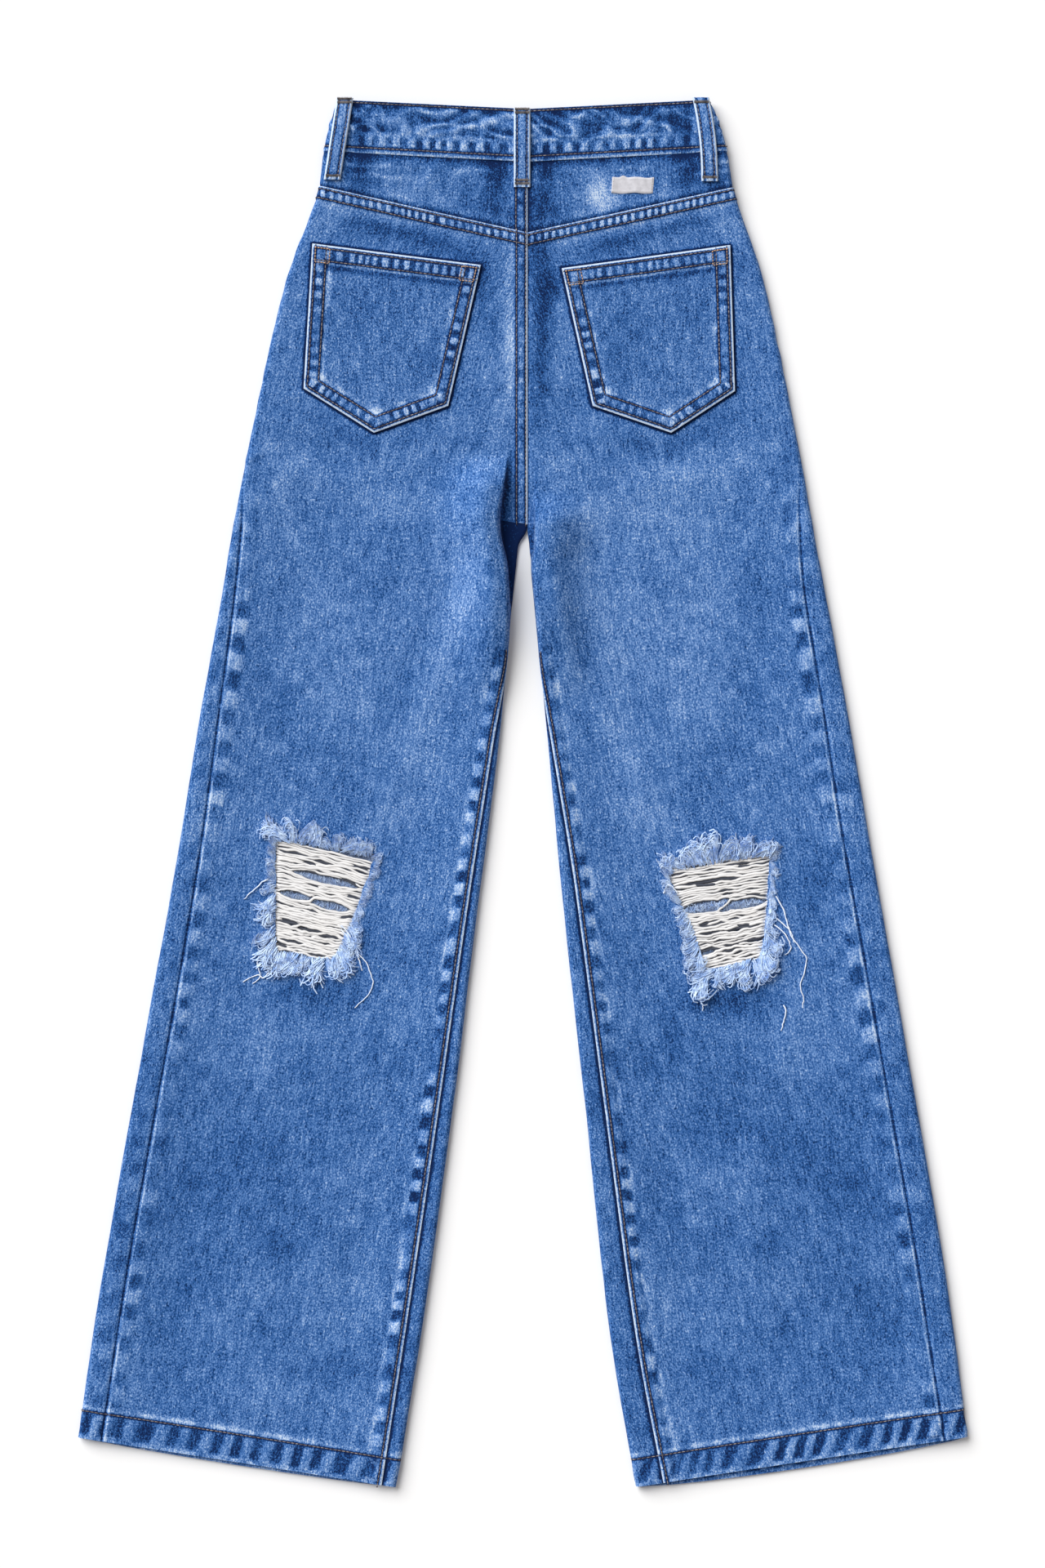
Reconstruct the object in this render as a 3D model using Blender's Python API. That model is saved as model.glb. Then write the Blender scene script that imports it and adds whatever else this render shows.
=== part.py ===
"""Ripped wide-leg jeans, laid flat on a surface with their back up.

Run it with: blender --background --python part.py
X runs across the garment, Y from the hems to the waist, and Z is up from the surface.
Sizes in the tables are millimetres. Left and right are the wearer's.
"""

import math
from collections import namedtuple

import bmesh
import bpy
import numpy as np

MM = 0.001

# Cloth and seams
DENIM = 1.3          # one layer of denim
HEM_DENIM = 2.2      # the turned-up hem, two layers pressed
BAND_DENIM = 2.4     # the folded waistband, outer and inner layer
TRIM = 1.0           # label, bare yarns and frayed edges
SEAM_GAP = 0.3       # clearance between pieces that are sewn edge to edge
LAY_GAP = 0.35       # clearance under a piece that lies on another

# Folds
SIDE_FOLD = 6.4      # height of a leg where its cloth folds over at the edge
BAND_FOLD = 5.8      # height of the waistband where it folds over at the sides
FOLD_REACH = 25.0    # how far in from an edge the fold still lifts the upper layer
LAYER_TOP = 3.0      # height of two layers pressed flat
ROLL_ROUND = 3.2     # radius of the roll at the inner leg
LIP_ROUND = 1.5      # radius of the flat fold that shows beside the roll
ROLL_FULL = 2.0      # a roll wider than this has the lower layer lying flat beside it

# Sections
FOLD_STEPS = 10
TOP_STEPS = 40
ROUND_STEPS = 6
MAIN_COLUMNS = 12
VALLEY_COLUMNS = 3
WRAP_COLUMNS = 6
CROWD = 14.0         # how much closer the columns stand at a fold
CROWD_REACH = 6.0
ARC_SAMPLES = 400
PLACE_HALVINGS = 30

CENTRE_SEAM = 3.1    # X of the centre seams: the left half laps over the right
HEM_DEPTH = 20.0
HEM_STEP = 0.02      # share of the last stretch in which the wall thickens at the hem

# One row for each section. Across is measured outwards from the garment's middle.
# outer/inner: the section's ends. outseam, inseam: how far each seam lies over the
# edge onto the top (negative: under it). roll: how far the inner leg's roll stands
# back from the edge. sink: how far the cloth beside the centre seam drops to the
# lower layer, 0 to 1. loft: height of the upper layer. lift: height of the underside.
Section = namedtuple(
    "Section",
    "outer_x outer_y inner_x inner_y outseam inseam roll sink loft lift fold",
)
STATIONS = ("waist", "yoke", "seat", "hip", "crotch", "fork", "thigh",
            "mid_thigh", "low_thigh", "knee", "calf", "ankle", "hem")
CROTCH = STATIONS.index("crotch")
YOKE = STATIONS.index("yoke")
HEM = STATIONS.index("hem")

LEFT_LEG = (
    # outer_x  outer_y inner_x inner_y outseam inseam roll  sink loft lift  fold
    Section(139.4, 448.0, -3.1, 440.6, -8.0, 0.0, 12.0, 0.0, 4.9, 2.4, SIDE_FOLD),
    Section(142.2, 423.5, -3.1, 391.0, -8.0, 0.0, 12.0, 0.0, 4.9, 1.5, SIDE_FOLD),
    Section(164.7, 359.7, -3.1, 327.2, -7.0, 0.0, 12.0, 0.0, 4.9, 0.4, SIDE_FOLD),
    Section(183.8, 279.9, -3.1, 247.4, -5.0, 0.0, 12.0, 0.0, 4.4, 0.0, SIDE_FOLD),
    Section(196.1, 218.3, -3.1, 187.5, 2.0, 0.0, 19.0, 1.0, 3.8, 0.0, SIDE_FOLD),
    Section(198.6, 204.6, 3.2, 172.7, 4.5, 0.0, 11.0, 1.0, 3.6, 0.0, SIDE_FOLD),
    Section(202.1, 186.4, 5.1, 154.5, 7.5, 0.0, 5.0, 1.0, 3.5, 0.0, SIDE_FOLD),
    Section(210.9, 135.1, 10.0, 103.2, 11.0, 0.0, 0.0, 1.0, 3.4, 0.0, SIDE_FOLD),
    Section(224.0, 62.1, 17.4, 29.1, 14.3, 6.0, 0.0, 1.0, 3.4, 0.0, SIDE_FOLD),
    Section(240.8, -40.5, 30.8, -73.5, 17.0, 8.6, 0.0, 1.0, 3.4, 0.0, SIDE_FOLD),
    Section(265.3, -176.1, 47.6, -210.3, 18.5, 11.5, 0.0, 1.0, 3.4, 0.0, SIDE_FOLD),
    Section(295.5, -347.7, 71.5, -381.3, 18.5, 13.0, 0.0, 1.0, 3.4, 0.0, SIDE_FOLD),
    Section(310.7, -449.7, 88.6, -484.5, 18.5, 12.0, 0.0, 1.0, 5.2, 0.0, SIDE_FOLD),
)
RIGHT_LEG = (
    Section(142.8, 448.0, 3.1, 440.6, -8.0, 0.0, 8.0, 0.0, 4.9, 2.4, SIDE_FOLD),
    Section(146.8, 422.4, 3.1, 391.0, -8.0, 0.0, 8.0, 0.0, 4.9, 1.5, SIDE_FOLD),
    Section(167.6, 359.7, 3.1, 327.2, -6.0, 0.0, 8.0, 0.0, 4.9, 0.4, SIDE_FOLD),
    Section(185.0, 279.9, 3.1, 247.4, -3.0, 0.0, 5.0, 0.0, 4.4, 0.0, SIDE_FOLD),
    Section(196.9, 218.3, 3.1, 187.5, 5.0, 0.0, 4.5, 1.0, 3.8, 0.0, SIDE_FOLD),
    Section(199.0, 204.6, 4.4, 172.7, 8.0, 0.0, 3.3, 1.0, 3.6, 0.0, SIDE_FOLD),
    Section(202.1, 186.4, 5.4, 154.5, 10.5, 0.0, 0.0, 1.0, 3.5, 0.0, SIDE_FOLD),
    Section(212.3, 135.1, 10.5, 103.2, 16.5, 0.0, 0.0, 1.0, 3.4, 0.0, SIDE_FOLD),
    Section(225.7, 62.1, 18.0, 29.1, 18.0, 4.7, 0.0, 1.0, 3.4, 0.0, SIDE_FOLD),
    Section(243.7, -40.5, 27.6, -73.5, 20.0, 11.6, 0.0, 1.0, 3.4, 0.0, SIDE_FOLD),
    Section(267.6, -176.1, 42.5, -210.3, 20.0, 15.0, 0.0, 1.0, 3.4, 0.0, SIDE_FOLD),
    Section(297.0, -347.7, 61.3, -381.3, 20.0, 19.5, 0.0, 1.0, 3.4, 0.0, SIDE_FOLD),
    Section(310.7, -449.2, 79.0, -484.1, 18.0, 21.0, 0.0, 1.0, 5.2, 0.0, SIDE_FOLD),
)
# Sections cut between one station and the next, the first just below the station
STEPS = (2, 2, 2, 4, 1, 2, 4, 2, 1, 2, 2, 2)

LEFT_BAND = (
    Section(139.4, 448.3, -3.1, 440.9, 0.0, 0.0, 8.0, 0.0, 5.3, 2.4, BAND_FOLD),
    Section(135.0, 466.5, -3.1, 459.0, 0.0, 0.0, 8.0, 0.0, 5.5, 2.4, BAND_FOLD),
    Section(129.1, 483.4, -3.1, 477.0, 0.0, 0.0, 8.0, 0.0, 5.3, 2.4, BAND_FOLD),
)
RIGHT_BAND = (
    Section(142.8, 448.3, 3.1, 440.9, 0.0, 0.0, 8.0, 0.0, 5.3, 2.4, BAND_FOLD),
    Section(137.5, 466.5, 3.1, 459.0, 0.0, 0.0, 8.0, 0.0, 5.5, 2.4, BAND_FOLD),
    Section(130.2, 483.4, 3.1, 477.0, 0.0, 0.0, 8.0, 0.0, 5.3, 2.4, BAND_FOLD),
)

Side = namedtuple("Side", "name sign leg band peek")
SIDES = (
    Side("left", -1, LEFT_LEG, LEFT_BAND, 2.5),    # peek: how far the front hem
    Side("right", 1, RIGHT_LEG, RIGHT_BAND, 5.0),  # shows below the back one
)

# Patch pockets on the seat: corners as (across, Y)
Pocket = namedtuple("Pocket", "outer_top inner_top inner_low tip outer_low")
POCKETS = {
    "left": Pocket((146.8, 383.0), (29.4, 368.2), (52.2, 270.2), (104.0, 251.4), (153.0, 282.2)),
    "right": Pocket((144.5, 381.9), (27.1, 365.9), (48.7, 270.2), (103.5, 251.4), (147.9, 280.4)),
}
POCKET_ROWS = (0.0, 0.11, 0.12, 0.35, 0.6, 0.8, 1.0)   # shares of its depth; the hem ends at the second
POCKET_HEM_END = 0.11
POCKET_HEM_THICK = 0.7   # what the turned hem adds
POCKET_COLUMNS = 6

# Belt loops: X and Y of each end, and how far the middle bows sideways
Loop = namedtuple("Loop", "name top bottom bow")
BACK_LOOPS = (
    Loop("belt_loop_back_left", (-124.0, 484.3), (-133.0, 427.5), 0.0),
    Loop("belt_loop_back_centre", (-0.6, 477.2), (-0.6, 422.4), 0.0),
    Loop("belt_loop_back_right", (124.0, 484.6), (130.2, 426.4), 1.5),
)
FRONT_LOOPS = (
    Loop("belt_loop_front_left", (-74.0, 479.0), (-76.0, 430.0), 0.0),
    Loop("belt_loop_front_right", (76.0, 479.0), (78.0, 430.0), 0.0),
)
LOOP_WIDTH = 11.5
LOOP_DENIM = 1.6
LOOP_ARCH = 1.4      # how far a loop stands off the band at its middle
LOOP_STEPS = 8

# Plain label on the right half of the yoke: its centre and size
LABEL_CENTRE = (76.5, 423.8)
LABEL_SIZE = (29.0, 11.0)

# Rips at the back of the knees: the hole's corners and the reach of its frayed edge,
# as (across, Y), from the outer top corner round to the outer low one
Rip = namedtuple("Rip", "hole reach")
RIPS = {
    "left": Rip(
        hole=((173.0, -31.9), (102.9, -43.9), (129.1, -114.6), (173.0, -111.7)),
        reach=((181.5, -16.0), (98.3, -36.0), (115.4, -130.5), (186.5, -130.5)),
    ),
    "right": Rip(
        hole=((173.0, -43.9), (100.0, -54.2), (127.4, -120.3), (167.3, -111.2)),
        reach=((181.0, -29.5), (91.5, -33.0), (120.0, -141.0), (179.0, -134.0)),
    ),
}
RIP_STEPS = 4
YARN_DROP = 0.1      # how far above the panel's inner face the yarns lie

# Fly: the closed zip behind the centre front seam, and the button on the band
ZIP_WIDTH = 24.0
ZIP_DEPTH = 1.4
ZIP_TOP = 436.0
ZIP_BOTTOM = 300.0
ZIP_STEPS = 6
BUTTON_CENTRE = (-6.0, 460.0)
# radius and height of the button's face, rim and collar, from the surface up
BUTTON_TURN = (
    (0.0, 0.0), (6.2, 0.0), (8.0, 0.5), (8.5, 1.1), (8.0, 1.7), (4.0, 1.9), (3.0, 2.05), (0.0, 2.05),
)
BUTTON_SEGMENTS = 28

Finish = namedtuple("Finish", "colour roughness metallic")
FINISHES = {
    "denim": Finish((0.072, 0.181, 0.468), 0.85, 0.0),
    "denim_dark": Finish((0.052, 0.150, 0.400), 0.85, 0.0),
    "denim_band": Finish((0.068, 0.170, 0.430), 0.85, 0.0),
    "yarn": Finish((0.80, 0.80, 0.84), 0.9, 0.0),
    "fringe": Finish((0.42, 0.55, 0.78), 0.9, 0.0),
    "label": Finish((0.78, 0.76, 0.78), 0.7, 0.0),
    "zip": Finish((0.25, 0.22, 0.18), 0.5, 0.6),
    "brass": Finish((0.45, 0.30, 0.16), 0.35, 1.0),
}


def mix(a, b, t):
    return a + (b - a) * t


def mix_point(p, q, t):
    return tuple(mix(a, b, t) for a, b in zip(p, q))


def slopes(values):
    """Slopes of a smooth line through evenly spaced values that never overshoots them."""
    steps = np.diff(values)
    inner = np.where(
        steps[:-1] * steps[1:] > 0,
        2 * steps[:-1] * steps[1:] / np.where(steps[:-1] + steps[1:] == 0, 1, steps[:-1] + steps[1:]),
        0,
    )
    return np.concatenate([[steps[0]], inner, [steps[-1]]])


def section_at(rows, place):
    """The section at a place between the table's rows, such as 2.5 between rows 2 and 3."""
    table = np.array(rows)
    low = min(int(place), len(rows) - 2)
    t = place - low
    tilt = np.array([slopes(column) for column in table.T])
    here = (
        table[low] * (2 * t**3 - 3 * t**2 + 1)
        + tilt[:, low] * (t**3 - 2 * t**2 + t)
        + table[low + 1] * (3 * t**2 - 2 * t**3)
        + tilt[:, low + 1] * (t**3 - t**2)
    )
    return Section(*here)


def along(section, across):
    """Y of the section at a distance across."""
    share = (across - section.inner_x) / (section.outer_x - section.inner_x)
    return mix(section.inner_y, section.outer_y, share)


def top_height(section, across):
    """Height of the upper layer above the surface, away from the rolls themselves."""
    outer = section.outer_x - section.fold / 2 - across
    inner = across - section.inner_x - section.roll
    lift_outer = math.exp(-((outer / FOLD_REACH) ** 2) / 2)
    lift_inner = math.exp(-((inner / FOLD_REACH) ** 2) / 2) * section.sink
    rise = (section.fold - section.loft) * min(1.0, lift_outer + lift_inner)
    return section.lift + section.loft + rise


def contour(section, whole):
    """Outer line of the cloth in one section, and the arc positions of its landmarks.

    It starts at the inner end of the underside, runs out along the surface, round the
    outer fold and back over the top. A whole section is a closed leg tube. Otherwise
    the line ends at the centre seam.
    """
    radius = section.fold / 2
    base = section.lift
    foot = section.inner_x + section.roll
    shown = min(1.0, section.roll / ROLL_FULL)
    points = [(section.inner_x + (ROLL_ROUND if whole else 0), base)]
    for step in range(FOLD_STEPS + 1):
        turn = math.pi * (step / FOLD_STEPS - 0.5)
        points.append((section.outer_x - radius + radius * math.cos(turn),
                       base + radius + radius * math.sin(turn)))
    outermost = 1 + FOLD_STEPS // 2
    crest = foot + ROLL_ROUND
    for step in range(1, TOP_STEPS + 1):
        across = mix(section.outer_x - radius, crest, step / TOP_STEPS)
        points.append((across, top_height(section, across)))
    high = points[-1][1]
    low = mix(high, base + LAYER_TOP, 1.0 if whole else section.sink)
    for step in range(1, ROUND_STEPS + 1):
        turn = math.pi / 2 * step / ROUND_STEPS
        points.append((foot + ROLL_ROUND * (1 - math.sin(turn)), mix(low, high, math.cos(turn))))
    foot_index = len(points) - 1
    if whole:
        for step in range(ROUND_STEPS + 1):
            turn = math.pi / 2 * step / ROUND_STEPS
            quarter = (section.inner_x + ROLL_ROUND * (1 - math.cos(turn)),
                       base + LAYER_TOP * (1 - math.sin(turn)))
            half = (section.inner_x + LIP_ROUND * (1 - math.sin(2 * turn)),
                    base + LAYER_TOP / 2 * (1 + math.cos(2 * turn)))
            points.append(mix_point(quarter, half, shown))
        points[-1] = (points[-1][0], base)
        points.append(points[0])
    else:
        points.append((section.inner_x, low))
    line = np.array(points)
    keep = np.concatenate([[True], np.hypot(*np.diff(line, axis=0).T) > 1e-6])
    arc = np.concatenate([[0], np.cumsum(np.hypot(*np.diff(line, axis=0).T))])
    wrap_start = arc[foot_index + 1]
    wrap_length = arc[-1] - wrap_start
    marks = {
        "outer": arc[outermost],
        "foot": arc[foot_index],
        "edge": wrap_start + shown * wrap_length / 2,
        "end": arc[-1],
        "shown": shown,
    }
    return line[keep], arc[keep], marks


def outward(line, closed):
    """Outward normals of the line at its points."""
    before = np.roll(line, 1, axis=0)
    after = np.roll(line, -1, axis=0)
    if closed:
        before[0] = line[-2]
        after[-1] = line[1]
    else:
        before[0] = line[0]
        after[-1] = line[-1]
    run = after - before
    run /= np.maximum(np.hypot(*run.T), 1e-9)[:, None]
    return np.column_stack([run[:, 1], -run[:, 0]])


def spread(start, end, count, folds):
    """Arc positions from start to end, closer together at the folds."""
    samples = np.linspace(start, end, ARC_SAMPLES)
    weight = np.ones_like(samples)
    for fold in folds:
        weight += CROWD * np.exp(-(((samples - fold) / CROWD_REACH) ** 2))
    total = np.concatenate([[0], np.cumsum((weight[1:] + weight[:-1]) / 2)])
    return np.interp(np.linspace(0, total[-1], count + 1), total, samples)


def cloth_points(side, section, whole, arcs, wall):
    """Outer and inner points of the cloth at arc positions of one section."""
    line, arc, marks = contour(section, whole)
    normals = outward(line, whole)
    pairs = []
    for position in arcs:
        position = position % marks["end"] if whole else position
        point = np.array([np.interp(position, arc, line[:, k]) for k in (0, 1)])
        normal = np.array([np.interp(position, arc, normals[:, k]) for k in (0, 1)])
        normal /= np.hypot(*normal)
        pair = []
        for across, height in (point, point - normal * wall):
            pair.append((side.sign * across, along(section, across), height))
        pairs.append(pair)
    return pairs


def finish_object(name, mesh, finish):
    """Puts a mesh in the scene with a material of its own."""
    look = FINISHES[finish]
    material = bpy.data.materials.new(name)
    material.use_nodes = True
    shader = material.node_tree.nodes["Principled BSDF"]
    shader.inputs["Base Color"].default_value = (*look.colour, 1)
    shader.inputs["Roughness"].default_value = look.roughness
    shader.inputs["Metallic"].default_value = look.metallic
    mesh.materials.append(material)
    mesh.shade_smooth()
    mesh.set_sharp_from_angle(angle=math.radians(40))
    obj = bpy.data.objects.new(name, mesh)
    bpy.context.collection.objects.link(obj)
    return obj


def walled(name, rows, finish):
    """Closed cloth from rows of (outer, inner) point pairs, None where a row has no cloth."""
    shape = bmesh.new()
    corners = {}
    for i, row in enumerate(rows):
        for j, pair in enumerate(row):
            if pair is not None:
                corners[i, j] = [shape.verts.new([c * MM for c in point]) for point in pair]
    cells = [
        (i, j) for (i, j) in corners
        if (i + 1, j) in corners and (i, j + 1) in corners and (i + 1, j + 1) in corners
    ]
    edges = {}
    for i, j in cells:
        ring = [(i, j), (i, j + 1), (i + 1, j + 1), (i + 1, j)]
        shape.faces.new([corners[c][0] for c in ring])
        shape.faces.new([corners[c][1] for c in reversed(ring)])
        for a, b in zip(ring, ring[1:] + ring[:1]):
            if (b, a) in edges:
                del edges[b, a]
            else:
                edges[a, b] = True
    for a, b in edges:
        shape.faces.new([corners[b][0], corners[a][0], corners[a][1], corners[b][1]])
    bmesh.ops.recalc_face_normals(shape, faces=shape.faces)
    mesh = bpy.data.meshes.new(name)
    shape.to_mesh(mesh)
    shape.free()
    return finish_object(name, mesh, finish)


def laid_plate(name, grid, thickness, finish):
    """Flat piece whose underside is a grid of points, with its upper face moved out."""
    rows = []
    for row in grid:
        rows.append([((x, y, z + thickness), (x, y, z)) for x, y, z in row])
    return walled(name, rows, finish)


def places(first, last):
    """Places of the sections from one station to another."""
    found = []
    for station in range(first, last):
        found += [station + step / STEPS[station] for step in range(STEPS[station])]
    return found + [last]


def hem_places(side):
    """The places just above and just below the top of the turned-up hem."""
    length = side.leg[HEM - 1].outer_y - side.leg[HEM].outer_y
    share = HEM_DEPTH / length
    return [HEM - share - HEM_STEP, HEM - share]


def leg_places(side, first):
    """Places of a panel's sections from a station down to the hem, the hem's own among them."""
    top_of_hem = hem_places(side)
    before = [place for place in places(first, HEM - 1) if place < HEM - 1]
    return before + [HEM - 1, mix(HEM - 1, top_of_hem[0], 0.5), *top_of_hem, HEM]


def wall_at(side, place):
    return HEM_DENIM if place >= hem_places(side)[1] else DENIM


def moved(pairs, shift):
    """The same pairs of points, each moved along Y by the shift."""
    return [tuple((x, y + shift, z) for x, y, z in pair) for pair in pairs]


def back_row(side, place):
    """One section of the upper cloth: the leg's back, and the valley at the centre seam."""
    section = section_at(side.leg, place)
    whole = place > CROTCH
    marks = contour(section, whole)[2]
    start = marks["outer"] + section.outseam + SEAM_GAP / 2
    if whole:
        seam = mix(marks["edge"] - section.inseam, marks["foot"], marks["shown"])
        end = seam - SEAM_GAP / 2
    else:
        end = marks["foot"]
    arcs = spread(start, end, MAIN_COLUMNS, (marks["outer"], marks["foot"]))
    row = cloth_points(side, section, whole, arcs, wall_at(side, place))
    if whole:
        return row + [None] * VALLEY_COLUMNS
    valley = np.linspace(end, marks["end"] - SEAM_GAP / 2, VALLEY_COLUMNS + 1)[1:]
    return row + cloth_points(side, section, whole, valley, DENIM)


def front_row(side, place):
    """One section of the lower cloth, from the outseam under the leg to the inseam."""
    section = section_at(side.leg, place)
    whole = place >= CROTCH
    marks = contour(section, whole)[2]
    start = marks["outer"] + section.outseam - SEAM_GAP / 2
    end = 0.0 if whole else SEAM_GAP / 2
    arcs = spread(end, start, MAIN_COLUMNS, (marks["outer"],))[::-1]
    wall = wall_at(side, place)
    row = cloth_points(side, section, whole, arcs, wall)
    if not whole:
        return row + [None] * WRAP_COLUMNS
    seam = mix(marks["edge"] - section.inseam, marks["foot"], marks["shown"])
    around = spread(seam + SEAM_GAP / 2, marks["end"], WRAP_COLUMNS, (marks["edge"],))[::-1]
    wrap = cloth_points(side, section, whole, around[1:], wall)
    if place == CROTCH:
        wrap = moved(wrap, -SEAM_GAP)
    return row + wrap


def peeking(side, row):
    """The hem's row with its lower layer drawn down, so that it shows below the back hem."""
    section = side.leg[HEM]
    drawn = []
    for pair in row:
        shifted = []
        for x, y, z in pair:
            share = (abs(x) - section.inner_x) / (section.outer_x - section.inner_x)
            reach = math.sin(math.pi * min(max(share, 0.0), 1.0)) ** 0.5
            depth = max(0.0, 1 - z / section.fold)
            shifted.append((x, y - side.peek * reach * depth, z))
        drawn.append(tuple(shifted))
    return drawn


def make_legs(side):
    """Yoke, back and front panel of one side."""
    yoke = [back_row(side, place) for place in places(0, YOKE)]
    yoke[0] = moved(yoke[0], -SEAM_GAP / 2)
    yoke[-1] = moved(yoke[-1], SEAM_GAP / 2)
    walled(f"yoke_{side.name}", yoke, "denim")

    back = [back_row(side, place) for place in leg_places(side, YOKE)]
    back[0] = moved(back[0], -SEAM_GAP / 2)
    panel = walled(f"back_{side.name}", back, "denim")
    cut_rip(panel, side)

    rows = leg_places(side, 0)
    front = [front_row(side, place) for place in rows]
    front[0] = [pair and moved([pair], -SEAM_GAP / 2)[0] for pair in front[0]]
    front[-1] = peeking(side, front[-1])
    walled(f"front_{side.name}", front, "denim_dark")


def make_waistband():
    """The folded band, one ring that opens at the centre front."""
    rows = []
    for place in (0, 1, 2):
        halves = []
        for side in SIDES:
            section = side.band[place]
            marks = contour(section, False)[2]
            arcs = spread(SEAM_GAP, marks["end"], 2 * MAIN_COLUMNS, (marks["outer"],))
            halves.append(cloth_points(side, section, False, arcs, BAND_DENIM))
        rows.append(halves[0] + halves[1][-2::-1])
    walled("waistband", rows, "denim_band")


def section_over(side, across, y):
    """The section of a leg or the seat that passes through a point."""
    low, high = 0.0, float(HEM)
    for _ in range(PLACE_HALVINGS):
        middle = (low + high) / 2
        if along(section_at(side.leg, middle), across) > y:
            low = middle
        else:
            high = middle
    return section_at(side.leg, low)


def height_over(side, across, y):
    """Height of the upper cloth at a point of a leg or the seat."""
    return top_height(section_over(side, across, y), across)


def band_height(side, across, y):
    """Height of the waistband at a point, or nothing beside it."""
    lowest = along(side.band[0], across)
    if y < lowest:
        return 0.0
    share = min(1.0, (y - lowest) / (along(side.band[-1], across) - lowest))
    section = section_at(side.band, share * (len(side.band) - 1))
    return top_height(section, min(across, section.outer_x))


def side_of(x):
    return SIDES[0] if x < CENTRE_SEAM else SIDES[1]


def make_pocket(side):
    """A patch pocket that lies on the back panel, thicker at its hem."""
    pocket = POCKETS[side.name]
    grid = []
    for depth in POCKET_ROWS:
        row = []
        for step in range(POCKET_COLUMNS + 1):
            share = step / POCKET_COLUMNS
            top = mix_point(pocket.outer_top, pocket.inner_top, share)
            if share <= 0.5:
                low = mix_point(pocket.outer_low, pocket.tip, share * 2)
            else:
                low = mix_point(pocket.tip, pocket.inner_low, share * 2 - 1)
            across, y = mix_point(top, low, depth)
            base = height_over(side, across, y) + LAY_GAP
            thick = DENIM + (POCKET_HEM_THICK if depth <= POCKET_HEM_END else 0.0)
            row.append(((side.sign * across, y, base + thick), (side.sign * across, y, base)))
        grid.append(row)
    walled(f"back_pocket_{side.name}", grid, "denim")


def make_back_loop(loop):
    """A belt loop: a strip from the band's upper edge to the yoke, arched over the band."""
    grid = []
    for step in range(LOOP_STEPS + 1):
        share = step / LOOP_STEPS
        x, y = mix_point(loop.top, loop.bottom, share)
        x += loop.bow * math.sin(math.pi * share)
        arch = math.sin(math.pi * share)
        edges = (x - LOOP_WIDTH / 2, x, x + LOOP_WIDTH / 2)
        base = 0.0
        for edge in edges:
            side = side_of(edge)
            across = side.sign * edge
            reach = section_at(side.leg, 0).outer_x
            over_yoke = height_over(side, min(across, reach), min(y, side.leg[0].inner_y))
            base = max(base, band_height(side, across, y), over_yoke)
        base += LAY_GAP + LOOP_ARCH * arch
        grid.append([(edge, y, base) for edge in edges])
    laid_plate(loop.name, grid, LOOP_DENIM, "denim_band")


def make_front_loop(loop):
    """A belt loop of the front, pressed flat between the band and the surface."""
    grid = []
    for step in range(LOOP_STEPS + 1):
        x, y = mix_point(loop.top, loop.bottom, step / LOOP_STEPS)
        grid.append([(x + LOOP_WIDTH * offset, y, 0.0) for offset in (-0.5, 0, 0.5)])
    laid_plate(loop.name, grid, LOOP_DENIM, "denim_band")


def make_label():
    """The bare label on the yoke."""
    side = SIDES[1]
    grid = []
    for up in (-0.5, 0, 0.5):
        row = []
        for over in (-0.5, -0.17, 0.17, 0.5):
            x = LABEL_CENTRE[0] + LABEL_SIZE[0] * over
            y = LABEL_CENTRE[1] + LABEL_SIZE[1] * up
            row.append((x, y, height_over(side, x, y) + LAY_GAP))
        grid.append(row)
    laid_plate("rear_label", grid, TRIM, "label")


def ring_points(corners, steps):
    """Points along the sides of a four-sided outline."""
    points = []
    for p, q in zip(corners, corners[1:] + corners[:1]):
        points += [mix_point(p, q, step / steps) for step in range(steps)]
    return points


def cut_rip(panel, side):
    """Cuts the worn-through hole out of a back panel."""
    shape = bmesh.new()
    low = []
    high = []
    for across, y in RIPS[side.name].hole:
        x = side.sign * across
        low.append(shape.verts.new((x * MM, y * MM, LAYER_TOP / 2 * MM)))
        high.append(shape.verts.new((x * MM, y * MM, 2 * SIDE_FOLD * MM)))
    shape.faces.new(low)
    shape.faces.new(high)
    for k in range(4):
        after = (k + 1) % 4
        shape.faces.new([low[k], low[after], high[after], high[k]])
    bmesh.ops.recalc_face_normals(shape, faces=shape.faces)
    mesh = bpy.data.meshes.new(f"rip_cutter_{side.name}")
    shape.to_mesh(mesh)
    shape.free()
    cutter = bpy.data.objects.new(mesh.name, mesh)
    cutter.hide_render = True
    cutter.display_type = "WIRE"
    bpy.context.collection.objects.link(cutter)
    cut = panel.modifiers.new("rip", "BOOLEAN")
    cut.operation = "DIFFERENCE"
    cut.object = cutter


def make_rip(side):
    """The bare yarns that span a rip, and the frayed edge round it."""
    rip = RIPS[side.name]
    middle = np.mean(rip.hole, axis=0)
    outer_top, inner_top, inner_low, outer_low = [
        tuple(np.array(corner) + (middle - corner) / np.hypot(*(middle - corner)) * 2 * SEAM_GAP)
        for corner in rip.hole
    ]
    grid = []
    for down in range(RIP_STEPS + 1):
        row = []
        for step in range(RIP_STEPS + 1):
            top = mix_point(outer_top, inner_top, step / RIP_STEPS)
            low = mix_point(outer_low, inner_low, step / RIP_STEPS)
            across, y = mix_point(top, low, down / RIP_STEPS)
            row.append((side.sign * across, y, height_over(side, across, y) - DENIM + YARN_DROP))
        grid.append(row)
    laid_plate(f"rip_yarns_{side.name}", grid, TRIM, "yarn")

    rows = []
    for corners in (rip.hole, rip.reach):
        ring = ring_points(corners, RIP_STEPS)
        row = []
        for across, y in ring + ring[:1]:
            base = height_over(side, across, y) + LAY_GAP
            row.append((side.sign * across, y, base))
        rows.append(row)
    make_ring(f"rip_fringe_{side.name}", rows, TRIM, "fringe")


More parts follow.
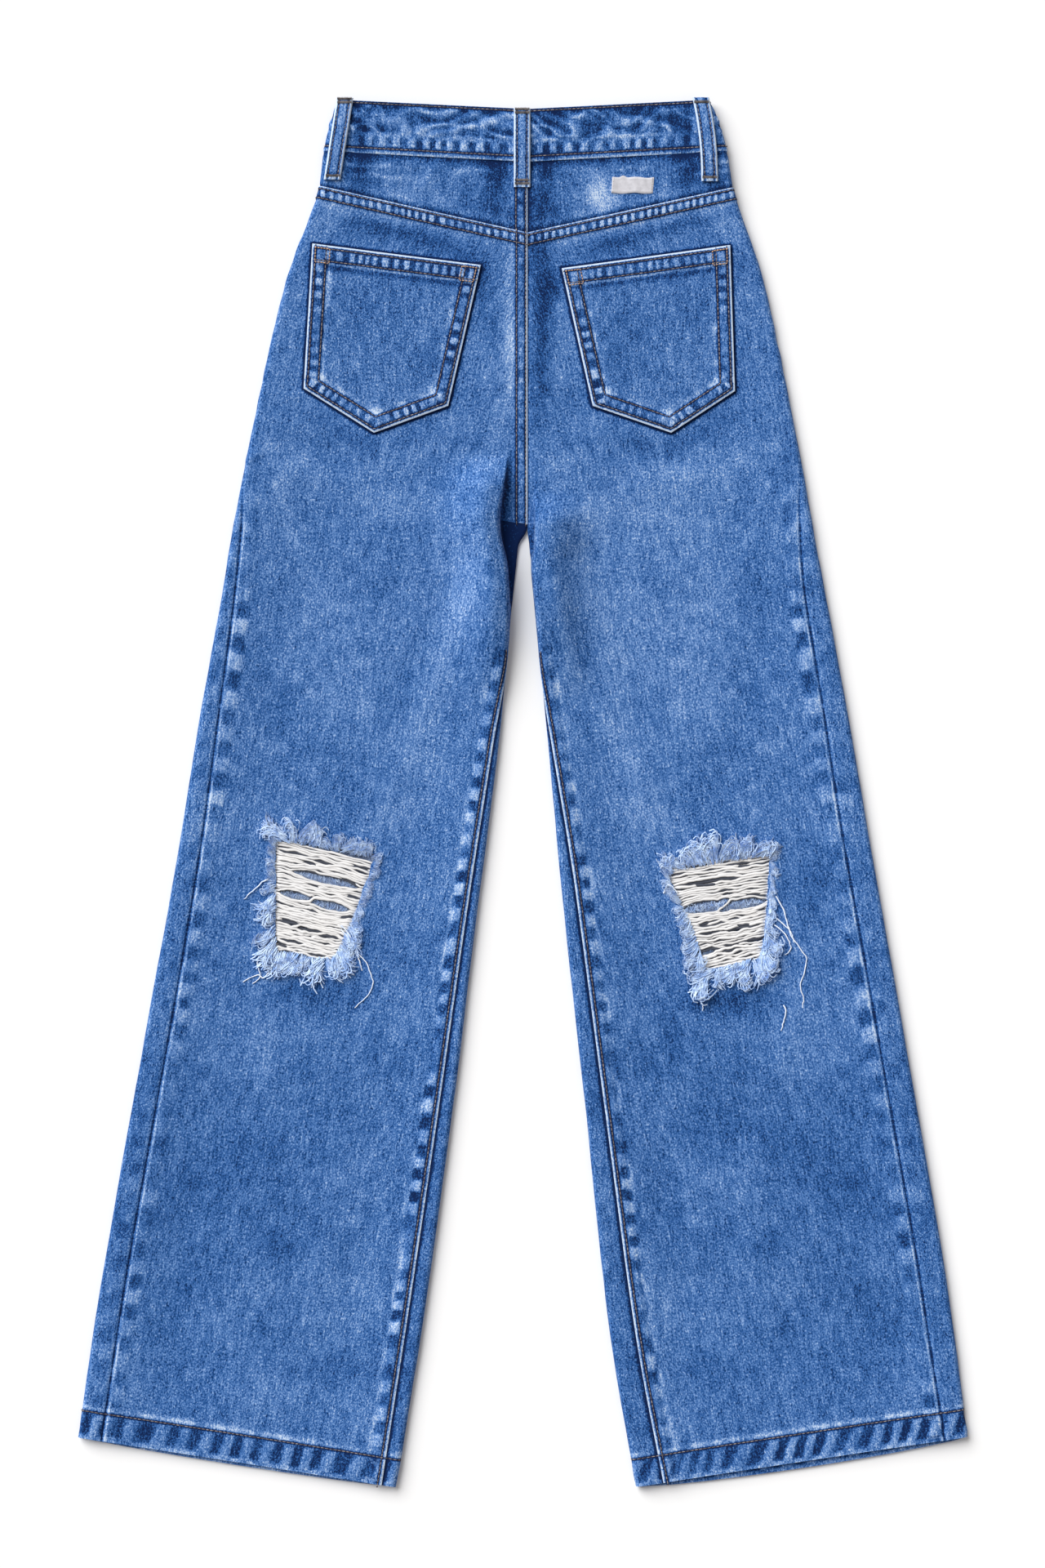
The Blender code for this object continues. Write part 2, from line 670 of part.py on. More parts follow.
def make_ring(name, rows, thickness, finish):
    """A closed frame from its inner and outer row of points, whose ends meet."""
    shape = bmesh.new()
    layers = []
    for row in rows:
        for rise in (0, thickness):
            layers.append([shape.verts.new((x * MM, y * MM, (z + rise) * MM)) for x, y, z in row[:-1]])
    inner_low, inner_high, outer_low, outer_high = layers
    count = len(inner_low)
    for k in range(count):
        after = (k + 1) % count
        for first, second in (
            (inner_low, outer_low),
            (outer_low, outer_high),
            (outer_high, inner_high),
            (inner_high, inner_low),
        ):
            shape.faces.new([first[k], first[after], second[after], second[k]])
    bmesh.ops.recalc_face_normals(shape, faces=shape.faces)
    mesh = bpy.data.meshes.new(name)
    shape.to_mesh(mesh)
    shape.free()
    finish_object(name, mesh, finish)


def make_zip():
    """The closed zip, tapes and teeth in one, between the layers behind the centre front."""
    grid = []
    for step in range(ZIP_STEPS + 1):
        y = mix(ZIP_TOP, ZIP_BOTTOM, step / ZIP_STEPS)
        row = []
        for offset in (-0.5, 0, 0.5):
            x = CENTRE_SEAM + ZIP_WIDTH * offset
            side = side_of(x)
            under = section_over(side, side.sign * x, y).lift
            row.append((x, y, under + DENIM + LAY_GAP))
        grid.append(row)
    laid_plate("fly_zip", grid, ZIP_DEPTH, "zip")


def make_button():
    """The waist button, face down between the band and the surface."""
    shape = bmesh.new()
    ring = [shape.verts.new((r * MM, 0, z * MM)) for r, z in BUTTON_TURN]
    edges = [shape.edges.new(pair) for pair in zip(ring, ring[1:])]
    bmesh.ops.spin(
        shape, geom=ring + edges, cent=(0, 0, 0), axis=(0, 0, 1),
        angle=2 * math.pi, steps=BUTTON_SEGMENTS, use_merge=True,
    )
    bmesh.ops.remove_doubles(shape, verts=shape.verts, dist=1e-6)
    bmesh.ops.translate(
        shape, verts=shape.verts, vec=(BUTTON_CENTRE[0] * MM, BUTTON_CENTRE[1] * MM, 0)
    )
    bmesh.ops.recalc_face_normals(shape, faces=shape.faces)
    mesh = bpy.data.meshes.new("waist_button")
    shape.to_mesh(mesh)
    shape.free()
    finish_object("waist_button", mesh, "brass")


def main():
    for obj in list(bpy.data.objects):
        bpy.data.objects.remove(obj)
    for side in SIDES:
        make_legs(side)
        make_pocket(side)
        make_rip(side)
    make_waistband()
    for loop in BACK_LOOPS:
        make_back_loop(loop)
    for loop in FRONT_LOOPS:
        make_front_loop(loop)
    make_label()
    make_zip()
    make_button()


main()
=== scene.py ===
"""Ripped wide-leg jeans, laid flat with their back up: cloth, seams, stitching and worn knees.

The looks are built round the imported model. Lengths in the tables are millimetres, and
left and right are the wearer's.
"""

import itertools
import math
from collections import namedtuple

import bpy
import numpy as np
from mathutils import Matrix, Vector


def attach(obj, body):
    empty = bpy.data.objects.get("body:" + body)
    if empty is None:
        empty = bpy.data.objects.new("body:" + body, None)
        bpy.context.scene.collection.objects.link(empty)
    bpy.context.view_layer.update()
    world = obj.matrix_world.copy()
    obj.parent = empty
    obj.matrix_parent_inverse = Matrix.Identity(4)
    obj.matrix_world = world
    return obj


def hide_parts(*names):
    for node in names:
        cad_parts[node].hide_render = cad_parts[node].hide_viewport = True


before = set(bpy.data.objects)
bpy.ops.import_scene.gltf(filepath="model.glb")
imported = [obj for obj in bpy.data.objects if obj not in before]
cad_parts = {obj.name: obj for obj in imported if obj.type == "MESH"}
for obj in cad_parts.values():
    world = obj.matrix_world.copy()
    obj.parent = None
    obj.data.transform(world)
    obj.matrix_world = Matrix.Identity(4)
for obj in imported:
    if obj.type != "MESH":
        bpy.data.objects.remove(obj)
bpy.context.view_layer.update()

bl_info = {
    "name": "Ripped jeans",
    "version": (1, 0, 0),
    "blender": (4, 5, 0),
    "location": "3D View > Sidebar > Jeans",
    "description": "Dresses the packed jeans in denim, stitching and worn edges",
    "category": "Object",
}

MM = 0.001

# ---- sizes of the cloth

SIDE_FOLD = 6.4
BAND_FOLD = 5.8
FOLD_REACH = 25.0
LAYER_TOP = 3.0
ROLL_ROUND = 3.2
LIP_ROUND = 1.5
ROLL_FULL = 2.0
FOLD_STEPS = 16
TOP_STEPS = 40
ROUND_STEPS = 8
ARC_SAMPLES = 600
HEM_DEPTH = 20.0
CENTRE_SEAM = 3.1
FAR = 60.0


def rows_of(kind, rows):
    return [kind(*row) for row in rows]


Section = namedtuple(
    "Section", "outer_x outer_y inner_x inner_y outseam inseam roll sink loft lift fold",
    defaults=(SIDE_FOLD,))
# Rows of the tables of the legs
YOKE, CROTCH, HEM = 1, 4, 12

LEFT_LEG = rows_of(Section, (
    # outer_x  outer_y inner_x inner_y outseam inseam roll sink loft lift
    (139.4, 448, -3.1, 440.6, -8, 0, 12, 0, 4.9, 2.4),
    (142.2, 423.5, -3.1, 391, -8, 0, 12, 0, 4.9, 1.5),
    (164.7, 359.7, -3.1, 327.2, -7, 0, 12, 0, 4.9, 0.4),
    (183.8, 279.9, -3.1, 247.4, -5, 0, 12, 0, 4.4, 0),
    (196.1, 218.3, -3.1, 187.5, 2, 0, 19, 1, 3.8, 0),
    (198.6, 204.6, 3.2, 172.7, 4.5, 0, 11, 1, 3.6, 0),
    (202.1, 186.4, 5.1, 154.5, 7.5, 0, 5, 1, 3.5, 0),
    (210.9, 135.1, 10, 103.2, 11, 0, 0, 1, 3.4, 0),
    (224, 62.1, 17.4, 29.1, 14.3, 6, 0, 1, 3.4, 0),
    (240.8, -40.5, 30.8, -73.5, 17, 8.6, 0, 1, 3.4, 0),
    (265.3, -176.1, 47.6, -210.3, 18.5, 11.5, 0, 1, 3.4, 0),
    (295.5, -347.7, 71.5, -381.3, 18.5, 13, 0, 1, 3.4, 0),
    (310.7, -449.7, 88.6, -484.5, 18.5, 12, 0, 1, 5.2, 0),
))
RIGHT_LEG = rows_of(Section, (
    (142.8, 448, 3.1, 440.6, -8, 0, 8, 0, 4.9, 2.4),
    (146.8, 422.4, 3.1, 391, -8, 0, 8, 0, 4.9, 1.5),
    (167.6, 359.7, 3.1, 327.2, -6, 0, 8, 0, 4.9, 0.4),
    (185, 279.9, 3.1, 247.4, -3, 0, 5, 0, 4.4, 0),
    (196.9, 218.3, 3.1, 187.5, 5, 0, 4.5, 1, 3.8, 0),
    (199, 204.6, 4.4, 172.7, 8, 0, 3.3, 1, 3.6, 0),
    (202.1, 186.4, 5.4, 154.5, 10.5, 0, 0, 1, 3.5, 0),
    (212.3, 135.1, 10.5, 103.2, 16.5, 0, 0, 1, 3.4, 0),
    (225.7, 62.1, 18, 29.1, 18, 4.7, 0, 1, 3.4, 0),
    (243.7, -40.5, 27.6, -73.5, 20, 11.6, 0, 1, 3.4, 0),
    (267.6, -176.1, 42.5, -210.3, 20, 15, 0, 1, 3.4, 0),
    (297, -347.7, 61.3, -381.3, 20, 19.5, 0, 1, 3.4, 0),
    (310.7, -449.2, 79, -484.1, 18, 21, 0, 1, 5.2, 0),
))
LEFT_BAND = rows_of(Section, (
    (139.4, 447.6, -3.1, 440.2, 0, 0, 8, 0, 5.3, 2.4, BAND_FOLD),
    (135, 466.5, -3.1, 459, 0, 0, 8, 0, 5.5, 2.4, BAND_FOLD),
    (129.1, 483.4, -3.1, 477, 0, 0, 8, 0, 5.3, 2.4, BAND_FOLD),
))
RIGHT_BAND = rows_of(Section, (
    (142.8, 447.6, 3.1, 440.2, 0, 0, 8, 0, 5.3, 2.4, BAND_FOLD),
    (137.5, 466.5, 3.1, 459, 0, 0, 8, 0, 5.5, 2.4, BAND_FOLD),
    (130.2, 483.4, 3.1, 477, 0, 0, 8, 0, 5.3, 2.4, BAND_FOLD),
))
Side = namedtuple("Side", "name sign leg band peek seed yoke_bars")
SIDES = (
    Side("left", -1, LEFT_LEG, LEFT_BAND, 2.5, 11, 5.6),
    Side("right", 1, RIGHT_LEG, RIGHT_BAND, 5.0, 47, 5.4),
)

# Where the inner legs swell beside the crotch: highest and lowest Y, the length over which
# it fades, how much higher they stand, and the share of it that the very edge has
Swell = namedtuple("Swell", "top low fade rise edge")
SWELLS = {"left": Swell(238.0, 50.0, 92.0, 2.25, 0.75), "right": Swell(212.0, 58.0, 84.0, 1.5, 0.85)}

Pocket = namedtuple("Pocket", "outer_top inner_top inner_low tip outer_low")
POCKETS = {
    "left": Pocket((146.8, 383.0), (29.4, 368.2), (52.2, 270.2), (104.0, 251.4), (153.0, 282.2)),
    "right": Pocket((144.5, 381.9), (27.1, 365.9), (48.7, 270.2), (103.5, 251.4), (147.9, 280.4)),
}
POCKET_HEM = 12.6
POCKET_LOFT = 0.35
TACK_BOX = 10.0

# How far the rows of stitches lie from the edge or seam that they follow
INSEAM_ROW = 2.9
CENTRE_ROWS = (1.2, 7.6)
YOKE_CENTRE_ROWS = (1.2, 8.0)
YOKE_ROWS = (1.7, 8.2)
HEM_ROW = 19.2
BAND_ROWS = (3.5, 34.0)
POCKET_ROWS = (2.5, 10.0)
POCKET_TOP_ROWS = (2.4, 10.9)
LOOP_ROW = 2.3

Loop = namedtuple("Loop", "node top bottom bow")
BACK_LOOPS = (
    Loop("belt_loop_back_left", (-124.0, 484.3), (-133.0, 427.5), 0.0),
    Loop("belt_loop_back_centre", (-0.6, 477.2), (-0.6, 422.4), 0.0),
    Loop("belt_loop_back_right", (124.0, 484.6), (130.2, 426.4), 1.5),
)
FRONT_LOOPS = (
    Loop("belt_loop_front_left", (-74.0, 479.0), (-76.0, 430.0), 0.0),
    Loop("belt_loop_front_right", (76.0, 479.0), (78.0, 430.0), 0.0),
)
LOOP_WIDTH = 11.5
LOOP_ARCH = 1.4
LOOP_WALL = 1.4
LOOP_LENGTH = 56
LOOP_STEPS = 60
LAY_GAP = 0.35

LABEL_CENTRE = (76.5, 423.8)
LABEL_SIZE = (29.0, 11.0)

# Worn places and places of painted light and shade: X, Y, half width, half height, turn in
# degrees, and how many hundredths paler (or, below 0, darker) the cloth is in the middle
Worn = namedtuple("Worn", "x y wide high turn amount")
WEAR_AND_SHADE = rows_of(Worn, (
    # seat and centre back seam: a painted highlight on the left flank of the seam's ridge, and
    # painted shade on its right flank and round the centre loop
    (-9, 312, 4, 36, 2, 26), (-14, 268, 5, 20, -12, 12), (13, 322, 5, 34, 0, -34), (-9, 366, 4, 14, 0, 14),
    (9, 378, 6, 12, 0, -26), (-20, 440, 6, 12, 0, -26), (17, 440, 6, 12, 0, -26), (-18, 414, 6, 16, 0, -16),
    (14, 410, 6, 14, 0, -24),
    # painted shade on the waistband beside the outer loops
    (-114, 461, 4, 16, 8, -30), (113, 461, 5, 18, -4, -30), (-114, 432, 6, 12, 0, -26),
    (114, 436, 7, 10, 0, -26),
    # under the waistband and over the pockets
    (-116, 395, 18, 5, -14, -14), (-82, 391, 24, 4, -12, -16), (-52, 379, 20, 5, -14, -16),
    (-134, 400, 10, 8, 0, 16), (96, 393, 42, 4, 12, -16), (60, 381, 16, 5, 14, -18),
    (140, 398, 9, 9, 0, 16), (-74, 424, 15, 13, 0, 12), (-100, 420, 12, 8, 0, 6), (52, 418, 9, 11, 0, 52),
    (84, 436, 24, 4, 4, 6), (112, 424, 10, 8, 0, 8),
    # beside and below the pockets
    (-27, 345, 6, 24, 14, -12), (20, 352, 5, 10, 0, -30), (-100, 236, 40, 8, 0, 5),
    (-118, 246, 20, 6, -25, -12), (-86, 246, 16, 6, 22, -12), (84, 244, 16, 6, -22, -12),
    (118, 246, 20, 6, 25, -12),
    # thighs
    (-116, 108, 46, 44, 0, 7), (-48, 132, 10, 46, -8, 10), (-100, 205, 22, 8, 4, 9),
    (-78, 238, 20, 10, 10, 5), (-168, 190, 10, 34, 6, 6), (-80, 178, 34, 12, 10, -6),
    (-60, 18, 12, 30, 40, 5), (103, 230, 38, 14, 0, 11), (100, 192, 36, 18, 0, 7), (96, 108, 44, 50, 4, 10),
    (46, 198, 8, 8, 0, 12), (44, 108, 9, 46, 14, -8), (152, 150, 12, 60, -6, -5), (60, 40, 9, 34, 24, 5),
    # round the knees
    (-150, -141, 26, 7, -4, -14), (-181, -172, 7, 30, 3, 9), (-100, -110, 14, 22, 0, -8),
    (-84, -60, 10, 40, -8, 4), (145, -144, 20, 8, 0, -20), (190, -172, 12, 22, -10, 7),
    (206, -60, 10, 26, -8, -10), (112, -160, 16, 18, 0, -6), (80, -30, 8, 40, 8, 6),
    # lower legs
    (-170, -285, 50, 42, 0, -5), (-104, -318, 9, 56, -9, 8), (-150, -420, 60, 10, -8, 5),
    (182, -292, 46, 60, 0, -5), (101, -370, 10, 28, 8, 10), (232, -300, 12, 60, 8, -6),
    (150, -236, 30, 6, 4, -7),
))

# Soft creases: two ends (X, Y), half width, height (below 0: a trough)
Crease = namedtuple("Crease", "x0 y0 x1 y1 wide high")
CREASES = rows_of(Crease, (
    (-194, 231, -182, 239, 2.2, 0.7), (-166, 276, -146, 280, 1.8, 0.4), (8, 176, 26, 78, 6.0, -0.5),
    (26, 78, 78, -4, 7.0, -0.5), (18, 170, 40, 70, 6.0, 0.5), (40, 70, 96, -8, 8.0, 0.5),
    (34, 190, 70, 60, 9.0, 0.35), (-20, 176, -72, 44, 9.0, 0.5), (-34, 180, -92, 60, 8.0, -0.4),
    (-72, 44, -98, -10, 8.0, 0.35), (-174, 226, -112, 214, 8.0, 0.35), (-165, 250, -120, 232, 7.0, -0.35),
    (70, 212, 150, 226, 9.0, 0.35), (62, 240, 120, 238, 8.0, -0.3), (166, 110, 140, -10, 12.0, -0.35),
    (-186, 120, -160, 10, 12.0, -0.35), (-196, -150, -172, -215, 8.0, 0.5),
    (196, -140, 176, -205, 9.0, 0.45), (-150, -146, -110, -166, 8.0, -0.4),
    (120, -150, 172, -150, 7.0, -0.4), (-120, -240, -150, -380, 14.0, 0.35),
    (150, -240, 176, -400, 14.0, 0.35), (-226, -240, -248, -400, 14.0, -0.3),
    (98, -250, 118, -420, 12.0, -0.3), (-116, 418, -60, 404, 6.0, 0.3), (62, 398, 118, 416, 6.0, 0.3),
    (-96, 438, -86, 424, 3.0, 0.4), (-60, 440, -70, 420, 3.5, 0.4),
))

YARN_RUN = 70
YARN_LOWEST = 0.9
WIDE_GAP = 4.0
TUFT_WIDTH = 4.5
FIBRES_PER_MM = 10

# Rips: the hole's corners from the outer top one round to the outer low one, as
# (across, Y); how far the first and last yarn lie above or below the corners, from the
# top left one round; the gaps between its yarns, with the yarn that each lies below, where
# it starts and ends as shares of the hole's width from its left, and its widest height;
# root and tip of the fringe at places round the hole; and the loose threads' points
Gap = namedtuple("Gap", "yarn start end high")
Rip = namedtuple("Rip", "hole slant yarns gaps fringe threads")
LEFT_RIP = Rip(
    hole=((173.0, -31.0), (102.9, -43.0), (129.1, -117.4), (173.0, -112.2)),
    slant=(0, -6, 0, 3),
    yarns=42,
    gaps=rows_of(Gap, (
        (3, 0.03, 0.35, 2.4), (4, 0.4, 0.62, 3.1), (10, 0.18, 0.92, 5.6), (14, 0.0, 0.2, 2.0),
        (19, 0.05, 0.46, 5.2), (20, 0.42, 0.92, 6.4), (30, -0.02, 0.34, 2.8), (31, 0.3, 0.66, 3.0),
        (32, 0.6, 0.92, 2.7), (37, 0.05, 0.44, 2.4), (40, 0.5, 0.8, 1.9),
    )),
    fringe=(
        (-173, -33, -182, -17), (-168, -33, -175, -14), (-158, -34, -157, -17), (-148, -36, -147, -20),
        (-138, -38, -141, -29), (-128, -40, -124, -27), (-118, -42, -112, -31), (-106, -44, -100, -36),
        (-102, -48, -99, -46), (-106, -58, -101, -60), (-112, -74, -108, -78), (-118, -88, -113, -94),
        (-124, -100, -117, -110), (-129, -112, -122, -128), (-133, -116, -129, -132),
        (-138, -116, -137, -129), (-143, -116, -141, -142), (-148, -116, -147, -124),
        (-156, -113, -160, -128), (-166, -112, -171, -126), (-172, -111, -184, -128),
        (-174, -100, -187, -110), (-174, -88, -183, -94), (-174, -78, -188, -84), (-174, -66, -182, -68),
        (-174, -54, -180, -52), (-174, -42, -180, -36),
    ),
    threads=(
        ((-127, -92, 1.0), (-121, -100, 1.0), (-117, -110, 0.9), (-110, -118, 0.7),
         (-105, -130, 0.5), (-108, -141, 0.5), (-118, -150, 0.3)),
        ((-126, -95, 0.8), (-120, -106, 1.2), (-119, -118, 0.5), (-122, -127, 0.3)),
        ((-117, -110, 0.9), (-114, -117, 1.0), (-112, -124, 0.3)),
        ((-178, -60, 0.8), (-184, -64, 1.0), (-191, -70, 0.6), (-195, -74, 0.3)),
        ((-183, -110, 0.8), (-185, -119, 1.2), (-184, -128, 0.6), (-189, -133, 0.3)),
        ((-176, -122, 0.8), (-181, -129, 0.9), (-186, -127, 0.5), (-196, -132, 0.3)),
    ),
)
RIGHT_RIP = Rip(
    hole=((173.0, -41.9), (100.0, -51.7), (127.4, -124.3), (167.3, -115.2)),
    slant=(0, 0, 0, 0),
    yarns=36,
    gaps=rows_of(Gap, (
        (0, 0.08, 0.4, 2.2), (1, 0.57, 0.8, 2.2), (6, 0.02, 0.72, 3.8), (10, 0.3, 0.7, 1.8),
        (14, 0.0, 0.56, 7.6), (15, 0.42, 1.0, 6.8), (20, 0.1, 0.5, 1.8), (23, 0.0, 0.45, 2.2),
        (23, 0.4, 1.04, 2.6), (28, 0.74, 0.96, 2.0), (29, -0.06, 0.26, 4.2), (30, 0.33, 0.62, 2.4),
    )),
    fringe=(
        (101, -58, 92, -47), (106, -53, 98, -39), (113, -52, 110, -41), (120, -51, 118, -34),
        (128, -49, 127, -31), (136, -48, 137, -29), (144, -46, 146, -31), (154, -45, 156, -29),
        (164, -44, 168, -28), (172, -43, 180, -33), (174, -48, 177, -48), (174, -62, 177, -66),
        (173, -76, 178, -84), (171, -90, 178, -98), (169, -104, 171, -122), (165, -116, 166, -138),
        (160, -117, 162, -135), (153, -119, 152, -135), (145, -121, 142, -135), (138, -123, 134, -132),
        (131, -125, 127, -146), (127, -123, 121, -144), (124, -114, 118, -126), (119, -98, 112, -106),
        (114, -86, 107, -90), (108, -74, 101, -74), (103, -63, 97, -58),
    ),
    threads=(
        ((176, -72, 1.2), (181, -80, 1.0), (185, -92, 0.9), (190, -104, 0.9), (196, -112, 0.8),
         (198, -118, 0.5), (194, -132, 0.4), (196, -144, 0.4), (196, -150, 0.3)),
        ((176, -92, 0.8), (184, -99, 1.2), (187, -108, 0.7), (183, -113, 0.3)),
        ((176, -86, 0.8), (186, -96, 1.3), (190, -104, 0.9)),
        ((182, -148, 0.3), (183, -156, 0.8), (181, -166, 0.3)),
        ((126, -136, 1.0), (125, -145, 0.8), (125, -152, 0.3)),
        ((98, -70, 0.5), (102, -64, 1.3), (108, -70, 1.0)),
    ),
)
RIPS = {"left": LEFT_RIP, "right": RIGHT_RIP}

# ---- settings


def millimetres(name, description, default, low, high):
    return bpy.props.FloatProperty(
        name=name, description=description, default=default * MM, min=low * MM, max=high * MM,
        precision=5, subtype="DISTANCE", unit="LENGTH")


def swatch(name, description, default):
    return bpy.props.FloatVectorProperty(
        name=name, description=description, default=default, size=3, min=0, max=1, subtype="COLOR")


class JeansSizes(bpy.types.PropertyGroup):
    """Sizes that can be changed before the garment is dressed."""

    denim: millimetres("Denim", "Thickness of one layer of denim", 1.3, 0.4, 3)
    hem_denim: millimetres("Hem", "Thickness of the turned-up hem", 2.2, 0.8, 5)
    band_denim: millimetres("Waistband", "Thickness of the folded waistband", 2.4, 0.8, 5)
    grid: millimetres("Cloth grid", "Distance between the rows of points of a leg panel", 2.2, 1, 10)
    stitch_pitch: millimetres("Stitch pitch", "Distance from one stitch to the next", 3.0, 1, 8)
    stitch_width: millimetres("Thread", "Width of the sewing thread", 0.62, 0.2, 2)
    yarn: millimetres("Bare yarns", "Width of the bundles of bare yarn across a rip", 1.9, 0.4, 3)
    fibre: millimetres("Frayed fibres", "Width of the fibres of a frayed edge", 0.5, 0.1, 2)


class JeansColours(bpy.types.PropertyGroup):
    """Colours that can be changed before the garment is dressed."""

    deep: swatch("Deep indigo", "Denim in the troughs beside its seams", (0.003, 0.015, 0.07))
    dark: swatch("Dark indigo", "The darker yarns of the denim", (0.015, 0.079, 0.27))
    plain: swatch("Denim blue", "The denim's own blue", (0.059, 0.16, 0.41))
    faded: swatch("Faded blue", "Denim that has faded", (0.166, 0.299, 0.582))
    worn: swatch("Worn blue", "Denim worn down to its white yarns", (0.54, 0.65, 0.8))
    yarn: swatch("Bare yarn", "The cream yarns across a rip", (0.89, 0.88, 0.89))
    thread: swatch("Sewing thread", "The tan thread of the seams", (0.275, 0.242, 0.238))
    tack: swatch("Bar tack thread", "The orange thread of the bar tacks", (0.46, 0.29, 0.19))
    label: swatch("Label", "The bare woven label", (0.63, 0.625, 0.67))
    floor: swatch("Floor", "The plain pale floor", (0.9, 0.9, 0.9))


def sizes():
    return bpy.context.scene.jeans_sizes


def colours():
    return bpy.context.scene.jeans_colours


# ---- form of the cloth


def mix(a, b, t):
    return a + (b - a) * t


def mix_point(p, q, t):
    return tuple(mix(a, b, t) for a, b in zip(p, q))


def smooth(t):
    t = np.clip(t, 0, 1)
    return t * t * (3 - 2 * t)


def band(distance, low, high, soft):
    """1 between two distances, falling smoothly to 0 beyond them."""
    return smooth((distance - low) / soft + 0.5) * smooth((high - distance) / soft + 0.5)


def ridge(distance, at, wide):
    return np.exp(-(((distance - at) / wide) ** 2))


def wander(along, period, seed):
    """A smooth irregular wave from -1 to 1 along a line."""
    knots = np.random.default_rng(seed).uniform(-1, 1, 1024)
    place = np.asarray(along, float) / period + 400
    low = np.floor(place).astype(int)
    t = smooth(place - low)
    return mix(knots[low % 1024], knots[(low + 1) % 1024], t)


def mottle(x, y, period, seed):
    """Smooth irregular patches from -1 to 1 over a surface."""
    knots = np.random.default_rng(seed).uniform(-1, 1, (256, 256))
    places = [np.asarray(way, float) / period + 1000 for way in (x, y)]
    i, j = (np.floor(place).astype(int) for place in places)
    s, t = (smooth(place - np.floor(place)) for place in places)
    low, high = (mix(knots[i % 256, k % 256], knots[(i + 1) % 256, k % 256], s) for k in (j, j + 1))
    return mix(low, high, t)


def slopes(values):
    """Slopes of a line through evenly spaced values that never overshoots them."""
    steps = np.diff(values)
    before, after = steps[:-1], steps[1:]
    total = np.where(before + after == 0, 1, before + after)
    inner = np.where(before * after > 0, 2 * before * after / total, 0)
    return np.concatenate([[steps[0]], inner, [steps[-1]]])


def sections_at(rows, places):
    """The sections at places between the table's rows, such as 2.5 between rows 2 and 3."""
    places = np.atleast_1d(np.asarray(places, float))
    table = np.array(rows)
    tilt = np.apply_along_axis(slopes, 0, table)
    low = np.minimum(places.astype(int), len(rows) - 2)
    t = (places - low)[:, None]
    here = (table[low] * (2 * t**3 - 3 * t**2 + 1) + tilt[low] * (t**3 - 2 * t**2 + t)
            + table[low + 1] * (3 * t**2 - 2 * t**3) + tilt[low + 1] * (t**3 - t**2))
    return [Section(*row) for row in here]


def along(section, across):
    """Y of the section at a distance across."""
    share = (across - section.inner_x) / (section.outer_x - section.inner_x)
    return mix(section.inner_y, section.outer_y, share)


def top_height(section, across):
    """Height of the upper layer, away from the rolls themselves."""
    outer = section.outer_x - section.fold / 2 - across
    inner = across - section.inner_x - section.roll
    lift_outer = np.exp(-((outer / FOLD_REACH) ** 2) / 2)
    lift_inner = np.exp(-((inner / FOLD_REACH) ** 2) / 2) * section.sink
    rise = (section.fold - section.loft) * np.minimum(1.0, lift_outer + lift_inner)
    return section.lift + section.loft + rise


def contour(section, whole):
    """Outer line of the cloth in a section, and arc positions of its landmarks."""
    radius = section.fold / 2
    base = section.lift
    foot = section.inner_x + section.roll
    shown = min(1.0, section.roll / ROLL_FULL)
    points = [(section.inner_x + (ROLL_ROUND if whole else 0), base)]
    turns = math.pi * (np.arange(FOLD_STEPS + 1) / FOLD_STEPS - 0.5)
    points += list(zip(section.outer_x - radius + radius * np.cos(turns),
                       base + radius + radius * np.sin(turns)))
    outermost = 1 + FOLD_STEPS // 2
    across = np.linspace(section.outer_x - radius, foot + ROLL_ROUND, TOP_STEPS + 1)[1:]
    points += list(zip(across, top_height(section, across)))
    high = points[-1][1]
    low = mix(high, base + LAYER_TOP, 1.0 if whole else section.sink)
    turns = math.pi / 2 * np.arange(1, ROUND_STEPS + 1) / ROUND_STEPS
    points += list(zip(foot + ROLL_ROUND * (1 - np.sin(turns)), mix(low, high, np.cos(turns))))
    foot_index = len(points) - 1
    if whole:
        for turn in math.pi / 2 * np.arange(ROUND_STEPS + 1) / ROUND_STEPS:
            quarter = (section.inner_x + ROLL_ROUND * (1 - math.cos(turn)),
                       base + LAYER_TOP * (1 - math.sin(turn)))
            half = (section.inner_x + LIP_ROUND * (1 - math.sin(2 * turn)),
                    base + LAYER_TOP / 2 * (1 + math.cos(2 * turn)))
            points.append(mix_point(quarter, half, shown))
        points[-1] = (points[-1][0], base)
        points.append(points[0])
    else:
        points.append((section.inner_x, low))
    line = np.array(points)
    run = np.hypot(*np.diff(line, axis=0).T)
    arc = np.concatenate([[0], np.cumsum(run)])
    wrap_start = arc[foot_index + 1]
    marks = {
        "outer": arc[outermost],
        "foot": arc[foot_index],
        "edge": wrap_start + shown * (arc[-1] - wrap_start) / 2,
        "end": arc[-1],
        "shown": shown,
    }
    keep = np.concatenate([[True], run > 1e-6])
    return line[keep], arc[keep], marks


def spread(start, end, count, crowds):
    """Positions from start to end, closer at each crowd (place, strength, reach)."""
    samples = np.linspace(start, end, ARC_SAMPLES)
    weight = np.ones_like(samples)
    for place, strength, reach in crowds:
        weight += strength * ridge(samples, place, reach)
    total = np.concatenate([[0], np.cumsum((weight[1:] + weight[:-1]) / 2)])
    return np.interp(np.linspace(0, total[-1], count + 1), total, samples)


def swelling(side, section, across, y):
    """How many times higher the cloth stands where the inner leg swells."""
    form = SWELLS[side.name]
    past = across - section.inner_x - section.roll
    over = mix(form.edge, 1.0, smooth(past / 13)) * ridge(np.maximum(past - 13, 0), 0, 20)
    reach = smooth((form.top - y) / 26) * smooth((y - form.low) / form.fade)
    return 1 + form.rise * over * reach * smooth((past + 1) / 2)


def on_contour(side, section, line, arc, positions):
    """Points of the garment at arc positions of one section's line."""
    across = np.interp(positions, arc, line[:, 0])
    height = np.interp(positions, arc, line[:, 1])
    y = along(section, across)
    return np.column_stack([side.sign * across, y, height * swelling(side, section, across, y)])


